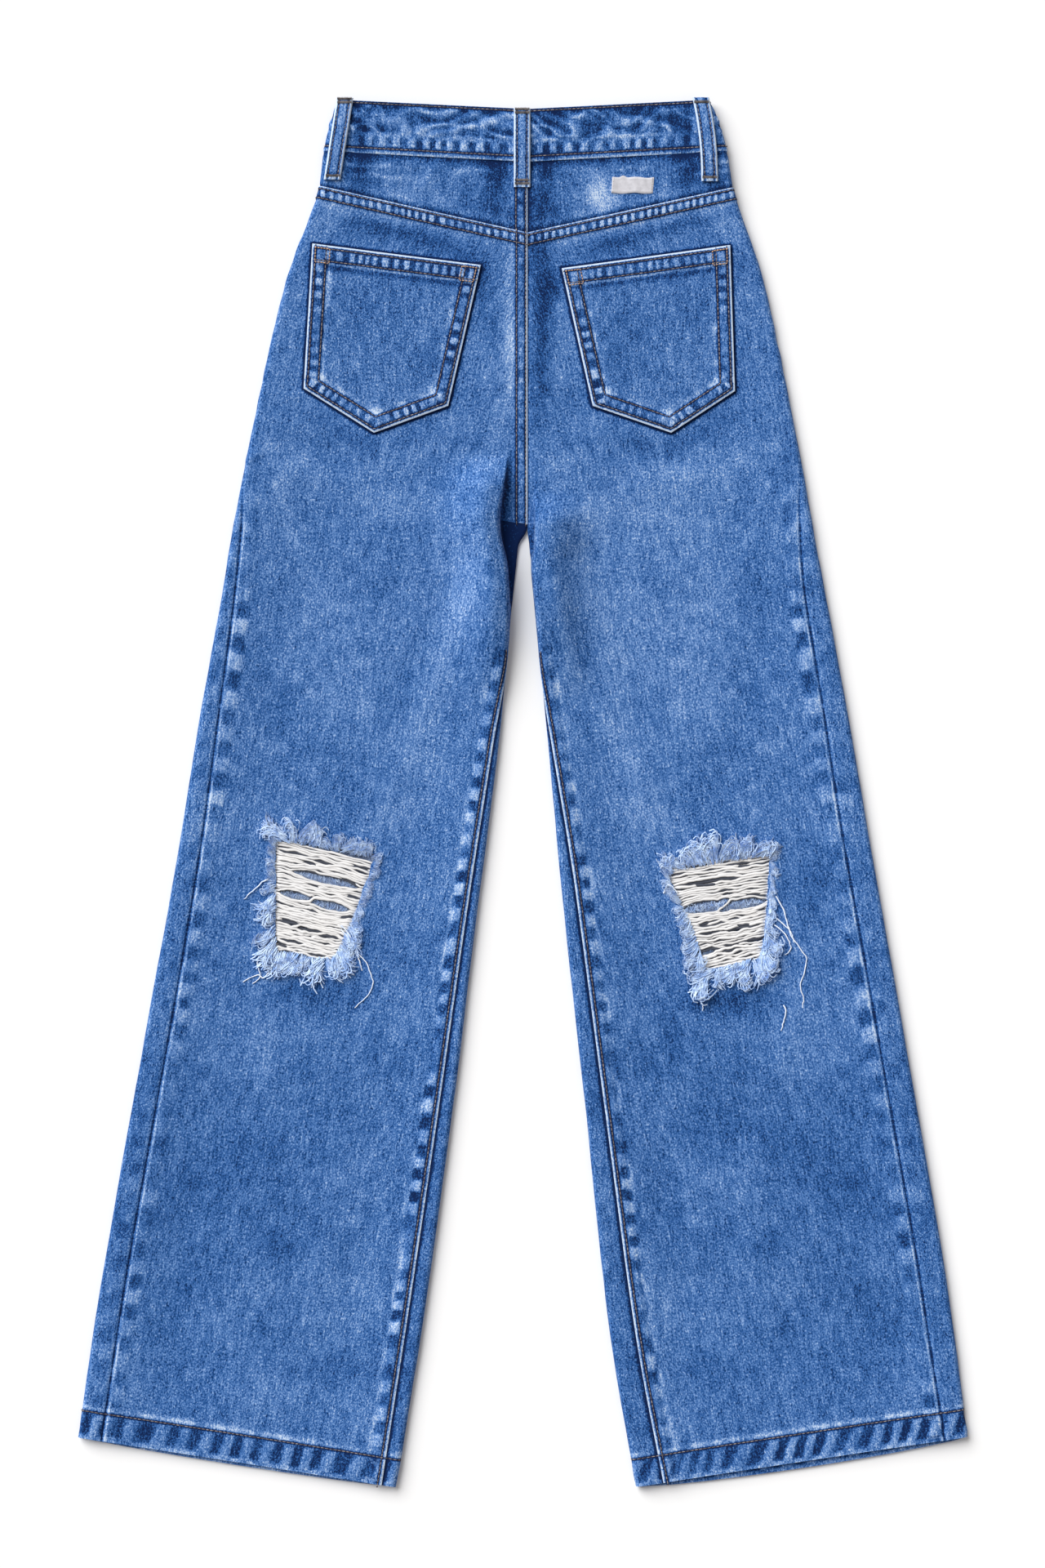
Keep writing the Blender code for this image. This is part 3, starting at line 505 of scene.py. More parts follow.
def even_places(rows, first, last, pitch):
    """Places from one row of a table to another, evenly far apart in Y."""
    dense = np.linspace(first, last, 900)
    run = np.array([section.outer_y for section in sections_at(rows, dense)])
    run = np.concatenate([[0], np.cumsum(-np.diff(run))])
    count = max(2, round(run[-1] / pitch))
    found = np.interp(np.linspace(0, run[-1], count + 1), run, dense)
    if first < CROTCH < last:
        found[np.argmin(abs(found - CROTCH))] = CROTCH
    return found


def section_over(side, across, y):
    """The section of a leg or the seat that passes through a point."""
    low, high = 0.0, float(HEM)
    for _ in range(24):
        middle = (low + high) / 2
        if along(sections_at(side.leg, middle)[0], across) > y:
            low = middle
        else:
            high = middle
    return sections_at(side.leg, low)[0]


def height_over(side, across, y):
    return float(top_height(section_over(side, across, y), across))


def height_map(side, across, y):
    """Heights of the upper cloth at many points."""
    found = sections_at(side.leg, np.linspace(0, HEM, 400))
    table = Section(*np.array(found).T)
    heights = np.zeros(np.shape(across))
    for k, px in np.ndenumerate(across):
        ys = along(table, px)
        i = min(max(int(np.searchsorted(-ys, -y[k])), 1), len(ys) - 1)
        t = np.clip((ys[i - 1] - y[k]) / max(ys[i - 1] - ys[i], 1e-6), 0, 1)
        heights[k] = mix(top_height(found[i - 1], px), top_height(found[i], px), t)
    return heights


def band_height(side, across, y):
    """Height of the waistband at a point, or nothing beside it."""
    lowest = along(side.band[0], across)
    if y < lowest:
        return 0.0
    share = min(1.0, (y - lowest) / (along(side.band[-1], across) - lowest))
    section = sections_at(side.band, share * 2)[0]
    return float(top_height(section, min(across, section.outer_x)))


# ---- relief, wear and painted shade


def wear_and_shade_at(x, y):
    """How much paler or darker the cloth is at its worn places and where light and shade are painted."""
    shade = np.zeros(np.shape(x))
    for place in WEAR_AND_SHADE:
        turn = math.radians(place.turn)
        dx, dy = x - place.x, y - place.y
        u = (dx * math.cos(turn) + dy * math.sin(turn)) / place.wide
        v = (dy * math.cos(turn) - dx * math.sin(turn)) / place.high
        shade += place.amount / 100 * np.exp(-(u * u + v * v) / 1.6)
    return shade


def creases_at(x, y):
    height = np.zeros(np.shape(x))
    for crease in CREASES:
        ex, ey = crease.x1 - crease.x0, crease.y1 - crease.y0
        length = math.hypot(ex, ey)
        t = ((x - crease.x0) * ex + (y - crease.y0) * ey) / length**2
        off = ((x - crease.x0) * -ey + (y - crease.y0) * ex) / length
        off = off + 0.12 * length * (np.clip(t, 0, 1) - 0.5) ** 2
        height += crease.high * ridge(off, 0, crease.wide) * band(t, 0.05, 0.95, 0.35)
    return height


class Dressing:
    """What a piece of cloth shows: relief, shade, worn edges and puckers."""

    def __init__(self, x, y, soft=1.0):
        self.relief = creases_at(x, y) * soft
        self.relief += soft * (0.22 * mottle(x, y, 46, 5) + 0.12 * mottle(x, y, 17, 6))
        self.shade = wear_and_shade_at(x, y) + 0.12 * np.clip(self.relief, -0.6, 0.6)
        self.shade -= 0.028 * smooth((-60 - y) / 160)
        self.edge = np.full(np.shape(x), FAR)
        self.pale = np.zeros(np.shape(x))
        self.rows = [np.full(np.shape(x), FAR), np.full(np.shape(x), FAR)]
        self.phase = np.zeros(np.shape(x))
        self.strength = np.zeros(np.shape(x))

    def puckers(self, run, distance, period, reach, strength, height, seed, slant=0.0, soft=3.0,
                uneven=0.3):
        """Bars across a seam: run is the way along it, distance the way off it."""
        phase = (run + slant * distance) / period + 0.42 * wander(run, 2.3 * period, seed)
        share = band(distance, reach[0], reach[1], soft)
        share = share * (1 - uneven + uneven * wander(run, 1.7 * period, seed + 1))
        here = share * strength
        wins = here > self.strength
        self.phase = np.where(wins, phase, self.phase)
        self.strength = np.where(wins, here, self.strength)
        self.relief += height * share * np.cos(math.tau * phase)

    def felled(self, distance, lift, wide, pale, share=1.0):
        """A folded edge that lies on its neighbour, worn pale along the fold."""
        self.relief += share * (lift * band(distance, -9, wide, 1.6) - 0.45 * ridge(distance, 0, 0.7))
        distance = np.where(share > 0.5, distance, FAR)
        nearer = distance < self.edge
        self.edge = np.where(nearer, distance, self.edge)
        self.pale = np.where(nearer, pale, self.pale)

    def sewn_at(self, distance, at, where=True, line=0):
        """A row of stitches, which draws the cloth down and along which the shader paints shade; rows that
        cross are kept in two lines.
        """
        off = np.where(where, distance - at, FAR)
        nearer = abs(off) < abs(self.rows[line])
        self.rows[line] = np.where(nearer, off, self.rows[line])
        self.relief -= 0.24 * ridge(off, 0, 0.8)

    def sewn_in_rows(self, distance, rows, where=True):
        for line, at in enumerate(rows):
            self.sewn_at(distance, at, where, line)


# ---- meshes

def outline_distance(corners, x, y):
    """For each side of an outline, how far points lie inside it and how far along it."""
    middle = np.mean(corners, axis=0)
    found = []
    for p, q in zip(corners, corners[1:] + corners[:1]):
        ex, ey = q[0] - p[0], q[1] - p[1]
        length = math.hypot(ex, ey)
        off = ((x - p[0]) * ey - (y - p[1]) * ex) / length
        centre = ((middle[0] - p[0]) * ey - (middle[1] - p[1]) * ex) / length
        run = ((x - p[0]) * ex + (y - p[1]) * ey) / length
        found.append((off * np.sign(centre), run))
    return found


def inside_outline(corners, x, y):
    """How far points lie inside an outline; below 0, how far outside."""
    return np.minimum.reduce([off for off, _ in outline_distance(corners, x, y)])


def on_side(side, points):
    """Points across the wearer's left or right half, as X and Y."""
    return [(side.sign * across, y) for across, y in points]


# A grid of points, which of them there are, how far they lie from the outseam and from the
# seam at the other end of their row, and how far past the foot of the roll there
Cloth = namedtuple("Cloth", "points valid out inn past", defaults=(None, None, None))


def unit(vectors):
    return vectors / np.maximum(np.linalg.norm(vectors, axis=-1, keepdims=True), 1e-9)


def normals_of(points):
    return unit(np.cross(np.gradient(points, axis=0), np.gradient(points, axis=1)))


def placed(name, data):
    """An object at the origin that shows some data."""
    obj = bpy.data.objects.new(name, data)
    bpy.context.scene.collection.objects.link(obj)
    return obj


def put_object(name, mesh, materials, angle=50):
    for material in materials:
        mesh.materials.append(material)
    mesh.shade_smooth()
    mesh.set_sharp_from_angle(angle=math.radians(angle))
    return placed(name, mesh)


def walled(name, cloth, look, wall, facing, materials, weave, keep=None, faced=None):
    """Closed cloth on a grid: its outer surface with the relief, its inner one and rims.

    wall is its thickness, facing 1 where down the rows and then along them turns outwards
    and -1 where it turns inwards, keep the cells that there are, weave the two coordinates
    of the yarns, and faced the inner points that show the outer finish.
    """
    normal = normals_of(cloth.points) * facing
    outer = cloth.points + normal * look.relief[..., None]
    inner = cloth.points + normal * (np.minimum(look.relief, 0) - wall)[..., None]
    cells = cloth.valid[:-1, :-1] & cloth.valid[1:, :-1] & cloth.valid[:-1, 1:] & cloth.valid[1:, 1:]
    if keep is not None:
        cells &= keep
    count = cloth.valid.size
    index = np.arange(count).reshape(cloth.valid.shape)
    top = np.stack([index[:-1, :-1], index[1:, :-1], index[1:, 1:], index[:-1, 1:]], axis=2)[cells]
    if facing < 0:
        top = top[:, ::-1]
    ends = np.concatenate([top[:, [k, (k + 1) % 4]] for k in range(4)])
    start, end = ends[~np.isin(ends @ (count, 1), ends @ (1, count))].T
    rim = np.column_stack([end, start, start + count, end + count])
    faces = np.concatenate([top, top[:, ::-1] + count, rim])
    points = np.concatenate([outer.reshape(-1, 3), inner.reshape(-1, 3)]) * MM
    used, faces = np.unique(faces, return_inverse=True)
    faces = faces.reshape(-1, 4)
    mesh = bpy.data.meshes.new(name)
    mesh.from_pydata(points[used].tolist(), [], faces.tolist())
    if len(materials) > 1:
        slots = np.zeros(len(faces), np.int32)
        slots[len(top):2 * len(top)] = 1 if faced is None else ~faced.reshape(-1)[top[:, 0] % count]
        mesh.polygons.foreach_set("material_index", slots)
    first, second = look.rows
    fields = {"cloth": (weave[0] * MM, weave[1] * MM, look.shade),
              "seam": (look.phase, look.strength, look.edge * MM),
              "sewn": (first * MM, look.pale, second * MM)}
    for title, parts in fields.items():
        values = np.stack([np.tile(part.reshape(-1), 2)[used] for part in parts], axis=1)
        attribute = mesh.attributes.new(title, "FLOAT_VECTOR", "POINT")
        attribute.data.foreach_set("vector", values.astype(np.float32).ravel())
    mesh.validate()
    mesh.update()
    return put_object(name, mesh, materials), outer


def tubes(name, paths, radii, material, sides=6, flat=1.0, shade_tints=None):
    """Closed tubes along paths; flat is height over width, shade_tints how pale their tops are, with painted
    shade darker on their sides and bottoms.
    """
    turns = math.tau * np.arange(sides) / sides
    points, faces, shaded_tones = [], [], []
    for path, radius, tint in zip(paths, radii, shade_tints or [1.0] * len(paths)):
        run = unit(np.gradient(path, axis=0))
        across = unit(np.cross(run, (0, 0, 1)))
        up = np.cross(across, run) * flat
        ring = across[:, None] * np.cos(turns)[:, None] + up[:, None] * np.sin(turns)[:, None]
        start, count = len(points), len(path)
        points += (path[:, None] + ring * radius[:, None, None]).reshape(-1, 3).tolist()
        # painted shade: each ring is darker on its sides and bottom than on its top
        shaded_tones += (tint * np.clip(0.36 + 1.1 * np.sin(turns), 0.04, 1.0)).tolist() * count
        for k in range(count - 1):
            for s in range(sides):
                p, q = start + k * sides + s, start + k * sides + (s + 1) % sides
                faces.append((p, p + sides, q + sides, q))
        faces.append(tuple(start + s for s in range(sides)))
        faces.append(tuple(start + count * sides - 1 - s for s in range(sides)))
    mesh = bpy.data.meshes.new(name)
    mesh.from_pydata((np.array(points) * MM).tolist(), [], faces)
    mesh.attributes.new("tint", "FLOAT", "POINT").data.foreach_set("value", np.array(shaded_tones, np.float32))
    mesh.validate()
    mesh.update()
    return put_object(name, mesh, [material])


def smooth_path(points, count):
    points = np.asarray(points, float)
    padded = np.concatenate([[2 * points[0] - points[1]], points, [2 * points[-1] - points[-2]]])
    place = np.linspace(0, len(points) - 1, count)
    k = np.minimum(place.astype(int), len(points) - 2)
    t = (place - k)[:, None]
    p0, p1, p2, p3 = (padded[k + n] for n in range(4))
    return 0.5 * (2 * p1 + (p2 - p0) * t + (2 * p0 - 5 * p1 + 4 * p2 - p3) * t**2
                  + (3 * p1 - p0 - 3 * p2 + p3) * t**3)


# ---- node trees


class Wire:
    """A node's output. Sums and products of wires add the nodes for them."""

    def __init__(self, socket):
        self.socket = socket
        self.tree = socket.id_data

    def __add__(self, other):
        return maths("ADD", self, other)

    def __sub__(self, other):
        return maths("SUBTRACT", self, other)

    def __mul__(self, other):
        return maths("MULTIPLY", self, other)

    def __truediv__(self, other):
        return maths("DIVIDE", self, other)


def put(value, socket):
    """Gives a socket a wire or a plain value."""
    if isinstance(value, Wire):
        value.tree.links.new(value.socket, socket)
    else:
        socket.default_value = value


def node(tree, kind, inputs=None, **settings):
    """The wires from a new node; its inputs take wires or plain values."""
    made = tree.nodes.new(kind)
    for key, value in settings.items():
        setattr(made, key, value)
    for key, value in (inputs or {}).items():
        put(value, made.inputs[key])
    return [Wire(socket) for socket in made.outputs]


def maths(operation, *values):
    return node(values[0].tree, "ShaderNodeMath", dict(enumerate(values)), operation=operation)[0]


def stretched(vector, scale, turn=0.0):
    """A vector turned about Z, in degrees, and scaled."""
    inputs = {"Vector": vector, "Rotation": (0, 0, math.radians(turn)), "Scale": scale}
    return node(vector.tree, "ShaderNodeMapping", inputs)[0]


def noise(vector, scale, detail=2.0, roughness=0.5, turn=0.0):
    """Noise of one scale, or of a scale for each way that the vector runs."""
    if isinstance(scale, tuple):
        vector = stretched(vector, scale, turn)
        scale = 1.0
    inputs = {"Vector": vector, "Scale": scale, "Detail": detail, "Roughness": roughness}
    return node(vector.tree, "ShaderNodeTexNoise", inputs)[0]


def mixed(share, first, second):
    """Two colours mixed, each a wire or plain; share is how much of the second."""
    first, second = (pick if isinstance(pick, Wire) else (*pick, 1) for pick in (first, second))
    return node(share.tree, "ShaderNodeMix", {0: share, 6: first, 7: second}, data_type="RGBA")[2]


def attribute(tree, name, output="Vector"):
    made = tree.nodes.new("ShaderNodeAttribute")
    made.attribute_name = name
    return Wire(made.outputs[output])


def object_place(tree):
    return Wire(tree.nodes.new("ShaderNodeTexCoord").outputs["Object"])


def new_group(name, kind, inputs, outputs):
    """A node group and the wires from its inputs: each a name, a kind and maybe a default."""
    tree = bpy.data.node_groups.new(name, kind)
    for title, socket, *default in inputs:
        made = tree.interface.new_socket(name=title, in_out="INPUT", socket_type="NodeSocket" + socket)
        if default:
            made.default_value = default[0]
    for title, socket in outputs:
        tree.interface.new_socket(name=title, in_out="OUTPUT", socket_type="NodeSocket" + socket)
    given = tree.nodes.new("NodeGroupInput")
    return tree, *[Wire(socket) for socket in given.outputs[:len(inputs)]]


def give(tree, *wires):
    """Links what a group puts out."""
    result = tree.nodes.new("NodeGroupOutput")
    for wire, socket in zip(wires, result.inputs):
        put(wire, socket)
    return tree


def weave_group():
    """Twill yarns: streaks along the warp, fine specks and soft patches."""
    tree, cloth, contrast = new_group(
        "denim_weave", "ShaderNodeTree",
        [("Cloth", "Vector"), ("Contrast", "Float", 1.0)],
        [("Tone", "Float"), ("Height", "Float")])
    streaks = noise(cloth, (900, 560, 1), 1.5, 0.6)
    slubs = noise(cloth, (640, 105, 1), 1.0)
    slant = noise(cloth, (1300, 900, 1), 1.0, turn=14)
    wave = {"Vector": stretched(cloth, (1, 1, 1), 35), "Scale": 340.0, "Distortion": 2.5,
            "Detail": 1.0, "Detail Scale": 1.4}
    _, twill = node(tree, "ShaderNodeTexWave", wave)
    clouds = noise(cloth, 24.0, 3.0, 0.6)
    runs = noise(cloth, (170, 26, 1), 3.0, 0.6)
    blots = noise(cloth, (150, 80, 1))
    tone = streaks - 0.5
    for value, weight in ((slubs, 0.5), (slant, 0.95), (twill, 0.08),
                          (clouds, 0.32), (runs, 0.3), (blots, 0.3)):
        tone = tone + (value - 0.5) * weight
    return give(tree, tone * contrast, streaks * 0.55 + (slant * 0.35 + twill * 0.18))


WEFT_GREY = (0.34, 0.37, 0.43)


def wash_group():
    """Worn indigo: a tone picks one of five blues, which the weft greys."""
    tree, tone, weft = new_group(
        "denim_wash", "ShaderNodeTree",
        [("Tone", "Float", 0.5), ("Weft", "Float", 0.0)],
        [("Color", "Color")])
    ramp = tree.nodes.new("ShaderNodeValToRGB")
    put(tone, ramp.inputs["Fac"])
    picks = colours()
    stops = ((0.0, picks.deep), (0.24, picks.dark), (0.45, picks.plain),
             (0.66, picks.faded), (1.0, picks.worn))
    elements = ramp.color_ramp.elements
    while len(elements) < len(stops):
        elements.new(0.5)
    for element, (place, colour) in zip(elements, stops):
        element.position = place
        element.color = (*colour, 1)
    return give(tree, mixed(weft, Wire(ramp.outputs["Color"]), WEFT_GREY))


def seam_group():
    """Wear along the seams: pale bars and a pale folded edge, and painted shade in the stitches' grooves."""
    tree, cloth, seam, sewn, bar_share, groove_shade = new_group(
        "seam_wear", "ShaderNodeTree",
        [("Cloth", "Vector"), ("Seam", "Vector"), ("Sewn", "Vector"),
         ("Bars", "Float", 0.3), ("Groove", "Float", 0.4)],
        [("Tone", "Float"), ("Height", "Float")])
    phase, strength, edge = node(tree, "ShaderNodeSeparateXYZ", {0: seam})
    first, pale, second = node(tree, "ShaderNodeSeparateXYZ", {0: sewn})
    ragged = noise(cloth, (520, 520, 1), 2.0, 0.6)
    patches = noise(cloth, (130, 130, 1))
    wave = maths("COSINE", (phase + (ragged - 0.5) * 0.16) * (math.tau))
    wave = wave * 1.9 + (patches - 0.5) * 2.4
    square = node(tree, "ShaderNodeClamp", {0: wave, 1: -1.0, 2: 1.0})[0]
    bars = square * (strength * bar_share)

    def line(distance, place, wide):
        off = (distance - place) / wide
        return maths("EXPONENT", off * off * -1.0)

    fold = line(edge, 0.4 * MM, 0.9 * MM) * (pale * (ragged * 0.9 + 0.6))
    # painted shade darkens the grooves of the stitch rows, which the bump also sinks
    sunk = maths("MAXIMUM", line(first, 0.0, 1.0 * MM), line(second, 0.0, 1.0 * MM))
    groove = sunk * (groove_shade * (ragged + 0.5))
    return give(tree, bars + fold - groove, bars * 0.5 - sunk * 0.5)


def surfaced(shader, colour, height, strength, deep):
    """Gives a shader its colour, and its surface a relief some millimetres deep."""
    put(colour, shader.inputs["Base Color"])
    bump = {"Strength": strength, "Distance": deep * MM, "Height": height}
    put(node(shader.id_data, "ShaderNodeBump", bump)[0], shader.inputs["Normal"])


def shared(name, maker):
    """The node group of a name, made where there isn't one yet."""
    return bpy.data.node_groups.get(name) or maker()


def new_material(name, roughness, **fixed):
    """A material and its shader, with the numbers that are the same all over."""
    material = bpy.data.materials.new(name)
    material.use_nodes = True
    shader = material.node_tree.nodes["Principled BSDF"]
    shader.inputs["Roughness"].default_value = roughness
    for key, value in fixed.items():
        shader.inputs[key.replace("_", " ")].default_value = value
    return material, material.node_tree, shader


def group_in(tree, name, maker, **inputs):
    """The wires from a material's own use of a node group."""
    return node(tree, "ShaderNodeGroup", inputs, node_tree=shared(name, maker))


def denim(name, base, bars=0.3, groove=0.8, contrast=1.07, weft=0.0):
    """Washed denim: base is how pale it is, weft how much of its white yarns shows."""
    if name in bpy.data.materials:
        return bpy.data.materials[name]
    material, tree, shader = new_material(
        name, 0.95, Sheen_Weight=0.03, Sheen_Roughness=0.6, Specular_IOR_Level=0.08)
    cloth, seam, sewn = (attribute(tree, title) for title in ("cloth", "seam", "sewn"))
    shade = node(tree, "ShaderNodeSeparateXYZ", {0: cloth})[2]
    flat = node(tree, "ShaderNodeVectorMath", {0: cloth, 1: (1, 1, 0)}, operation="MULTIPLY")[0]
    weave_tone, weave_height = group_in(tree, "denim_weave", weave_group, Cloth=flat, Contrast=contrast)
    seam_tone, seam_height = group_in(
        tree, "seam_wear", seam_group, Cloth=flat, Seam=seam, Sewn=sewn, Bars=bars, Groove=groove)
    tone = shade + base + (weave_tone + seam_tone)
    colour = group_in(tree, "denim_wash", wash_group, Tone=tone, Weft=weft)[0]
    surfaced(shader, colour, weave_height + seam_height, 0.4, 0.5)
    return material


def fibre_material(name, dark, pale, scale=600.0, low=0.35, high=0.65):
    """Yarn or thread: two colours mixed in specks, and a hairy surface."""
    if name in bpy.data.materials:
        return bpy.data.materials[name]
    material, tree, shader = new_material(
        name, 0.85, Sheen_Weight=0.2, Sheen_Roughness=0.5, Specular_IOR_Level=0.25)
    place = object_place(tree)
    specks = noise(place, scale, 2.0, 0.6)
    fine = noise(place, scale * 4, 2.0, 0.6)
    share = node(tree, "ShaderNodeMapRange", {"Value": specks, "From Min": low, "From Max": high})[0]
    surfaced(shader, mixed(share, dark, pale), fine, 0.4, 0.2)
    return material


def shifted(colour, by):
    return tuple(min(1.0, max(0.0, c * by)) for c in colour)


def outer_denim():
    return denim("denim_outer", 0.41)


def inner_denim():
    """The wrong side, where the white yarns of the weft show most."""
    return denim("denim_wrong_side", 0.5, bars=0.0, groove=0.0, contrast=1.5, weft=0.45)


def thread_material():
    pick = colours().thread
    return fibre_material("sewing_thread", shifted(pick, 0.36), shifted(pick, 1.3), 260)


def tack_material():
    return fibre_material("bar_tack_thread", shifted(colours().tack, 0.6), shifted(colours().tack, 1.4), 500)


# near-black beads in the needle holes: painted shade
def needle_shade_material():
    return fibre_material("needle_pit", (0.012, 0.01, 0.016), (0.045, 0.034, 0.04), 900)


# ---- geometry nodes


def geo(tree, kind, inputs, **settings):
    """What a geometry node puts out first."""
    return node(tree, "GeometryNode" + kind, inputs, **settings)[0]


def joined(tree, parts):
    made = tree.nodes.new("GeometryNodeJoinGeometry")
    for part in parts:
        put(part, made.inputs[0])
    return Wire(made.outputs[0])


def stitch_tree():
    """Stitches along lines, each a rounded bar, with a near-black bead between two that stands for painted
    shade in the needle hole.
    """
    tree, lines, pitch, length, width, pit, thread, pit_shade = new_group(
        "stitch_run", "GeometryNodeTree",
        [("Lines", "Geometry"), ("Pitch", "Float", 0.003), ("Length", "Float", 0.0026),
         ("Width", "Float", 0.00075), ("Pit", "Float", 0.0011),
         ("Thread", "Material"), ("Pit Material", "Material")],
        [("Stitches", "Geometry")])
    curve = geo(tree, "MeshToCurve", {"Mesh": lines})
    spaced = node(tree, "GeometryNodeCurveToPoints", {"Curve": curve, "Length": pitch}, mode="LENGTH")
    points, tangent = spaced[:2]
    turned = node(tree, "FunctionNodeAlignEulerToVector", {"Vector": tangent}, axis="X")[0]
    uneven = node(tree, "FunctionNodeRandomValue", {0: (0.82, 0.8, 0.8), 1: (1.06, 1.2, 1.2), "Seed": 7},
                  data_type="FLOAT_VECTOR")[0]

    def beads(places, rings, size, scale, material):
        """A rounded bead of a length, width and height on each point."""
        ball = geo(tree, "MeshUVSphere", {"Segments": 6, "Rings": rings, "Radius": 0.5})
        shape = node(tree, "ShaderNodeCombineXYZ", dict(zip("XYZ", size)))[0]
        sized = geo(tree, "Transform", {"Geometry": ball, "Scale": shape})
        put_down = geo(tree, "InstanceOnPoints", {
            "Points": places, "Instance": sized, "Rotation": turned, "Scale": scale})
        return geo(tree, "SetMaterial", {"Geometry": put_down, "Material": material})

    stitches = beads(points, 4, (length, width, width), uneven, thread)
    half = node(tree, "ShaderNodeVectorMath", {0: tangent, "Scale": pitch * 0.5}, operation="SCALE")[0]
    lowered = node(tree, "ShaderNodeVectorMath", {0: half, 1: (0, 0, -0.22 * MM)}, operation="ADD")[0]
    between = geo(tree, "SetPosition", {"Geometry": points, "Offset": lowered})
    pits = beads(between, 3, (pit, pit, 0.5 * MM), (1, 1, 1), pit_shade)
    both = joined(tree, [stitches, pits])
    return give(tree, geo(tree, "RealizeInstances", {0: both}))


# Middle and end of each curl on a fibre of length 1 along X; each has a mirror image
CURLS = (
    ((0.5, 0.12, 0.12), (1.0, 0.02, 0.04)),
    ((0.62, 0.34, 0.2), (0.96, -0.06, 0.06)),
    ((1.1, 0.2, 0.24), (0.72, 0.46, 0.12)),
    ((1.3, 0.45, 0.28), (0.45, 0.55, 0.14)),
)


def fibre_tree():
    """Frayed fibres on points: each follows its lean, with the curl that its clump has."""
    tree, roots, width, seed, fibre = new_group(
        "frayed_fibres", "GeometryNodeTree",
        [("Roots", "Geometry"), ("Width", "Float", 0.0005), ("Seed", "Int", 1),
         ("Fibre", "Material")],
        [("Fibres", "Geometry")])
    points = geo(tree, "MeshToPoints", {"Mesh": roots})
    lean = geo(tree, "InputNamedAttribute", {"Name": "lean"}, data_type="FLOAT_VECTOR")
    curl = geo(tree, "InputNamedAttribute", {"Name": "curl"}, data_type="INT")
    _, length = node(tree, "ShaderNodeVectorMath", {0: lean}, operation="LENGTH")
    # the ring lies on a fibre of length 1, which a fibre of 10 mm scales to the right width
    ring = geo(tree, "CurvePrimitiveCircle", {"Resolution": 3, "Radius": width * 50.0}, mode="RADIUS")
    shapes = []
    for curl_shape, way in itertools.product(CURLS, ((1, 1, 1), (1, -1, 1))):
        middle, end = np.multiply(curl_shape, way)
        bend = node(tree, "GeometryNodeCurveQuadraticBezier",
                    {"Resolution": 5, "Start": (0, 0, 0), "Middle": middle, "End": end})[0]
        tube = geo(tree, "CurveToMesh", {"Curve": bend, "Profile Curve": ring, "Fill Caps": True})
        shapes.append(geo(tree, "GeometryToInstance", {0: tube}))
    turned = node(tree, "FunctionNodeAlignEulerToVector", {"Vector": lean}, axis="X", pivot_axis="Z")[0]
    uneven = {"Min": 0.9, "Max": 1.1, "Seed": seed}
    thick = node(tree, "FunctionNodeRandomValue", uneven, data_type="FLOAT")[1]
    placed = geo(tree, "InstanceOnPoints", {
        "Points": points, "Instance": joined(tree, shapes), "Pick Instance": True,
        "Instance Index": curl, "Rotation": turned, "Scale": length * thick})
    real = geo(tree, "RealizeInstances", {0: placed})
    return give(tree, geo(tree, "SetMaterial", {"Geometry": real, "Material": fibre}))


def grown(name, mesh, tree, values, angle=60):
    """The plain mesh that a node tree makes on a starting mesh."""
    seed = placed(name + "_start", mesh)
    modifier = seed.modifiers.new("grow", "NODES")
    modifier.node_group = tree
    for item in tree.interface.items_tree:
        if item.in_out == "INPUT" and item.name in values:
            modifier[item.identifier] = values[item.name]
    graph = bpy.context.evaluated_depsgraph_get()
    result = bpy.data.meshes.new_from_object(seed.evaluated_get(graph), depsgraph=graph)
    result.name = name
    bpy.data.objects.remove(seed)
    bpy.data.meshes.remove(mesh)
    if not result.polygons:
        raise RuntimeError(f"{name} came out empty")
    return put_object(name, result, [], angle)


def line_mesh(name, lines):
    points, edges = [], []
    for line in lines:
        start = len(points)
        points += [tuple(p * MM for p in point) for point in line]
        edges += [(k, k + 1) for k in range(start, len(points) - 1)]
    mesh = bpy.data.meshes.new(name)
    mesh.from_pydata(points, edges, [])
    return mesh


def sew(name, lines, thread=None, pitch=None, width=None, length=0.88, pit=1.3):
    """Stitches along lines of points."""
    pitch = pitch or sizes().stitch_pitch
    obj = grown(name, line_mesh(name + "_lines", lines), shared("stitch_run", stitch_tree), {
        "Pitch": pitch, "Length": pitch * length, "Width": width or sizes().stitch_width,
        "Pit": pit * MM, "Thread": thread or thread_material(), "Pit Material": needle_shade_material()})
    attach(obj, "root")
    return obj


def line_across(field, points, distance, lift=0.12):
    """The line on a grid where a distance that grows along the rows has a value."""
    found = []
    for row_field, row in zip(field, points):
        good = np.isfinite(row_field)
        if good.sum() < 2:
            continue
        values, places = row_field[good], row[good]
        if values[0] > values[-1]:
            values, places = values[::-1], places[::-1]
        if values[0] <= distance <= values[-1]:
            x, y, z = (np.interp(distance, values, places[:, k]) for k in range(3))
            found.append((x, y, z + lift))
    return found


# ---- panels


def finish(obj, node_names):
    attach(obj, "root")
    if node_names:
        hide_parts(*node_names)


def whole_cloth(points):
    return Cloth(points, np.ones(points.shape[:2], bool))


def empty_cloth(rows, columns):
    shape = (rows, columns)
    distances = [np.full(shape, value) for value in (FAR, FAR, -FAR)]
    return Cloth(np.zeros((*shape, 3)), np.zeros(shape, bool), *distances)


def fill_row(cloth, row, points, out, inn):
    """Fills a row, repeating its last point, so that slopes can be taken."""
    count = len(points)
    cloth.points[row, :count] = points
    cloth.points[row, count:] = points[-1]
    cloth.out[row, :count] = out
    cloth.inn[row, :count] = inn
    cloth.valid[row, :count] = True


def inseam_arc(section, marks):
    """Where the inseam lies on the line of a leg's section."""
    return mix(marks["edge"] - section.inseam, marks["foot"], marks["shown"])


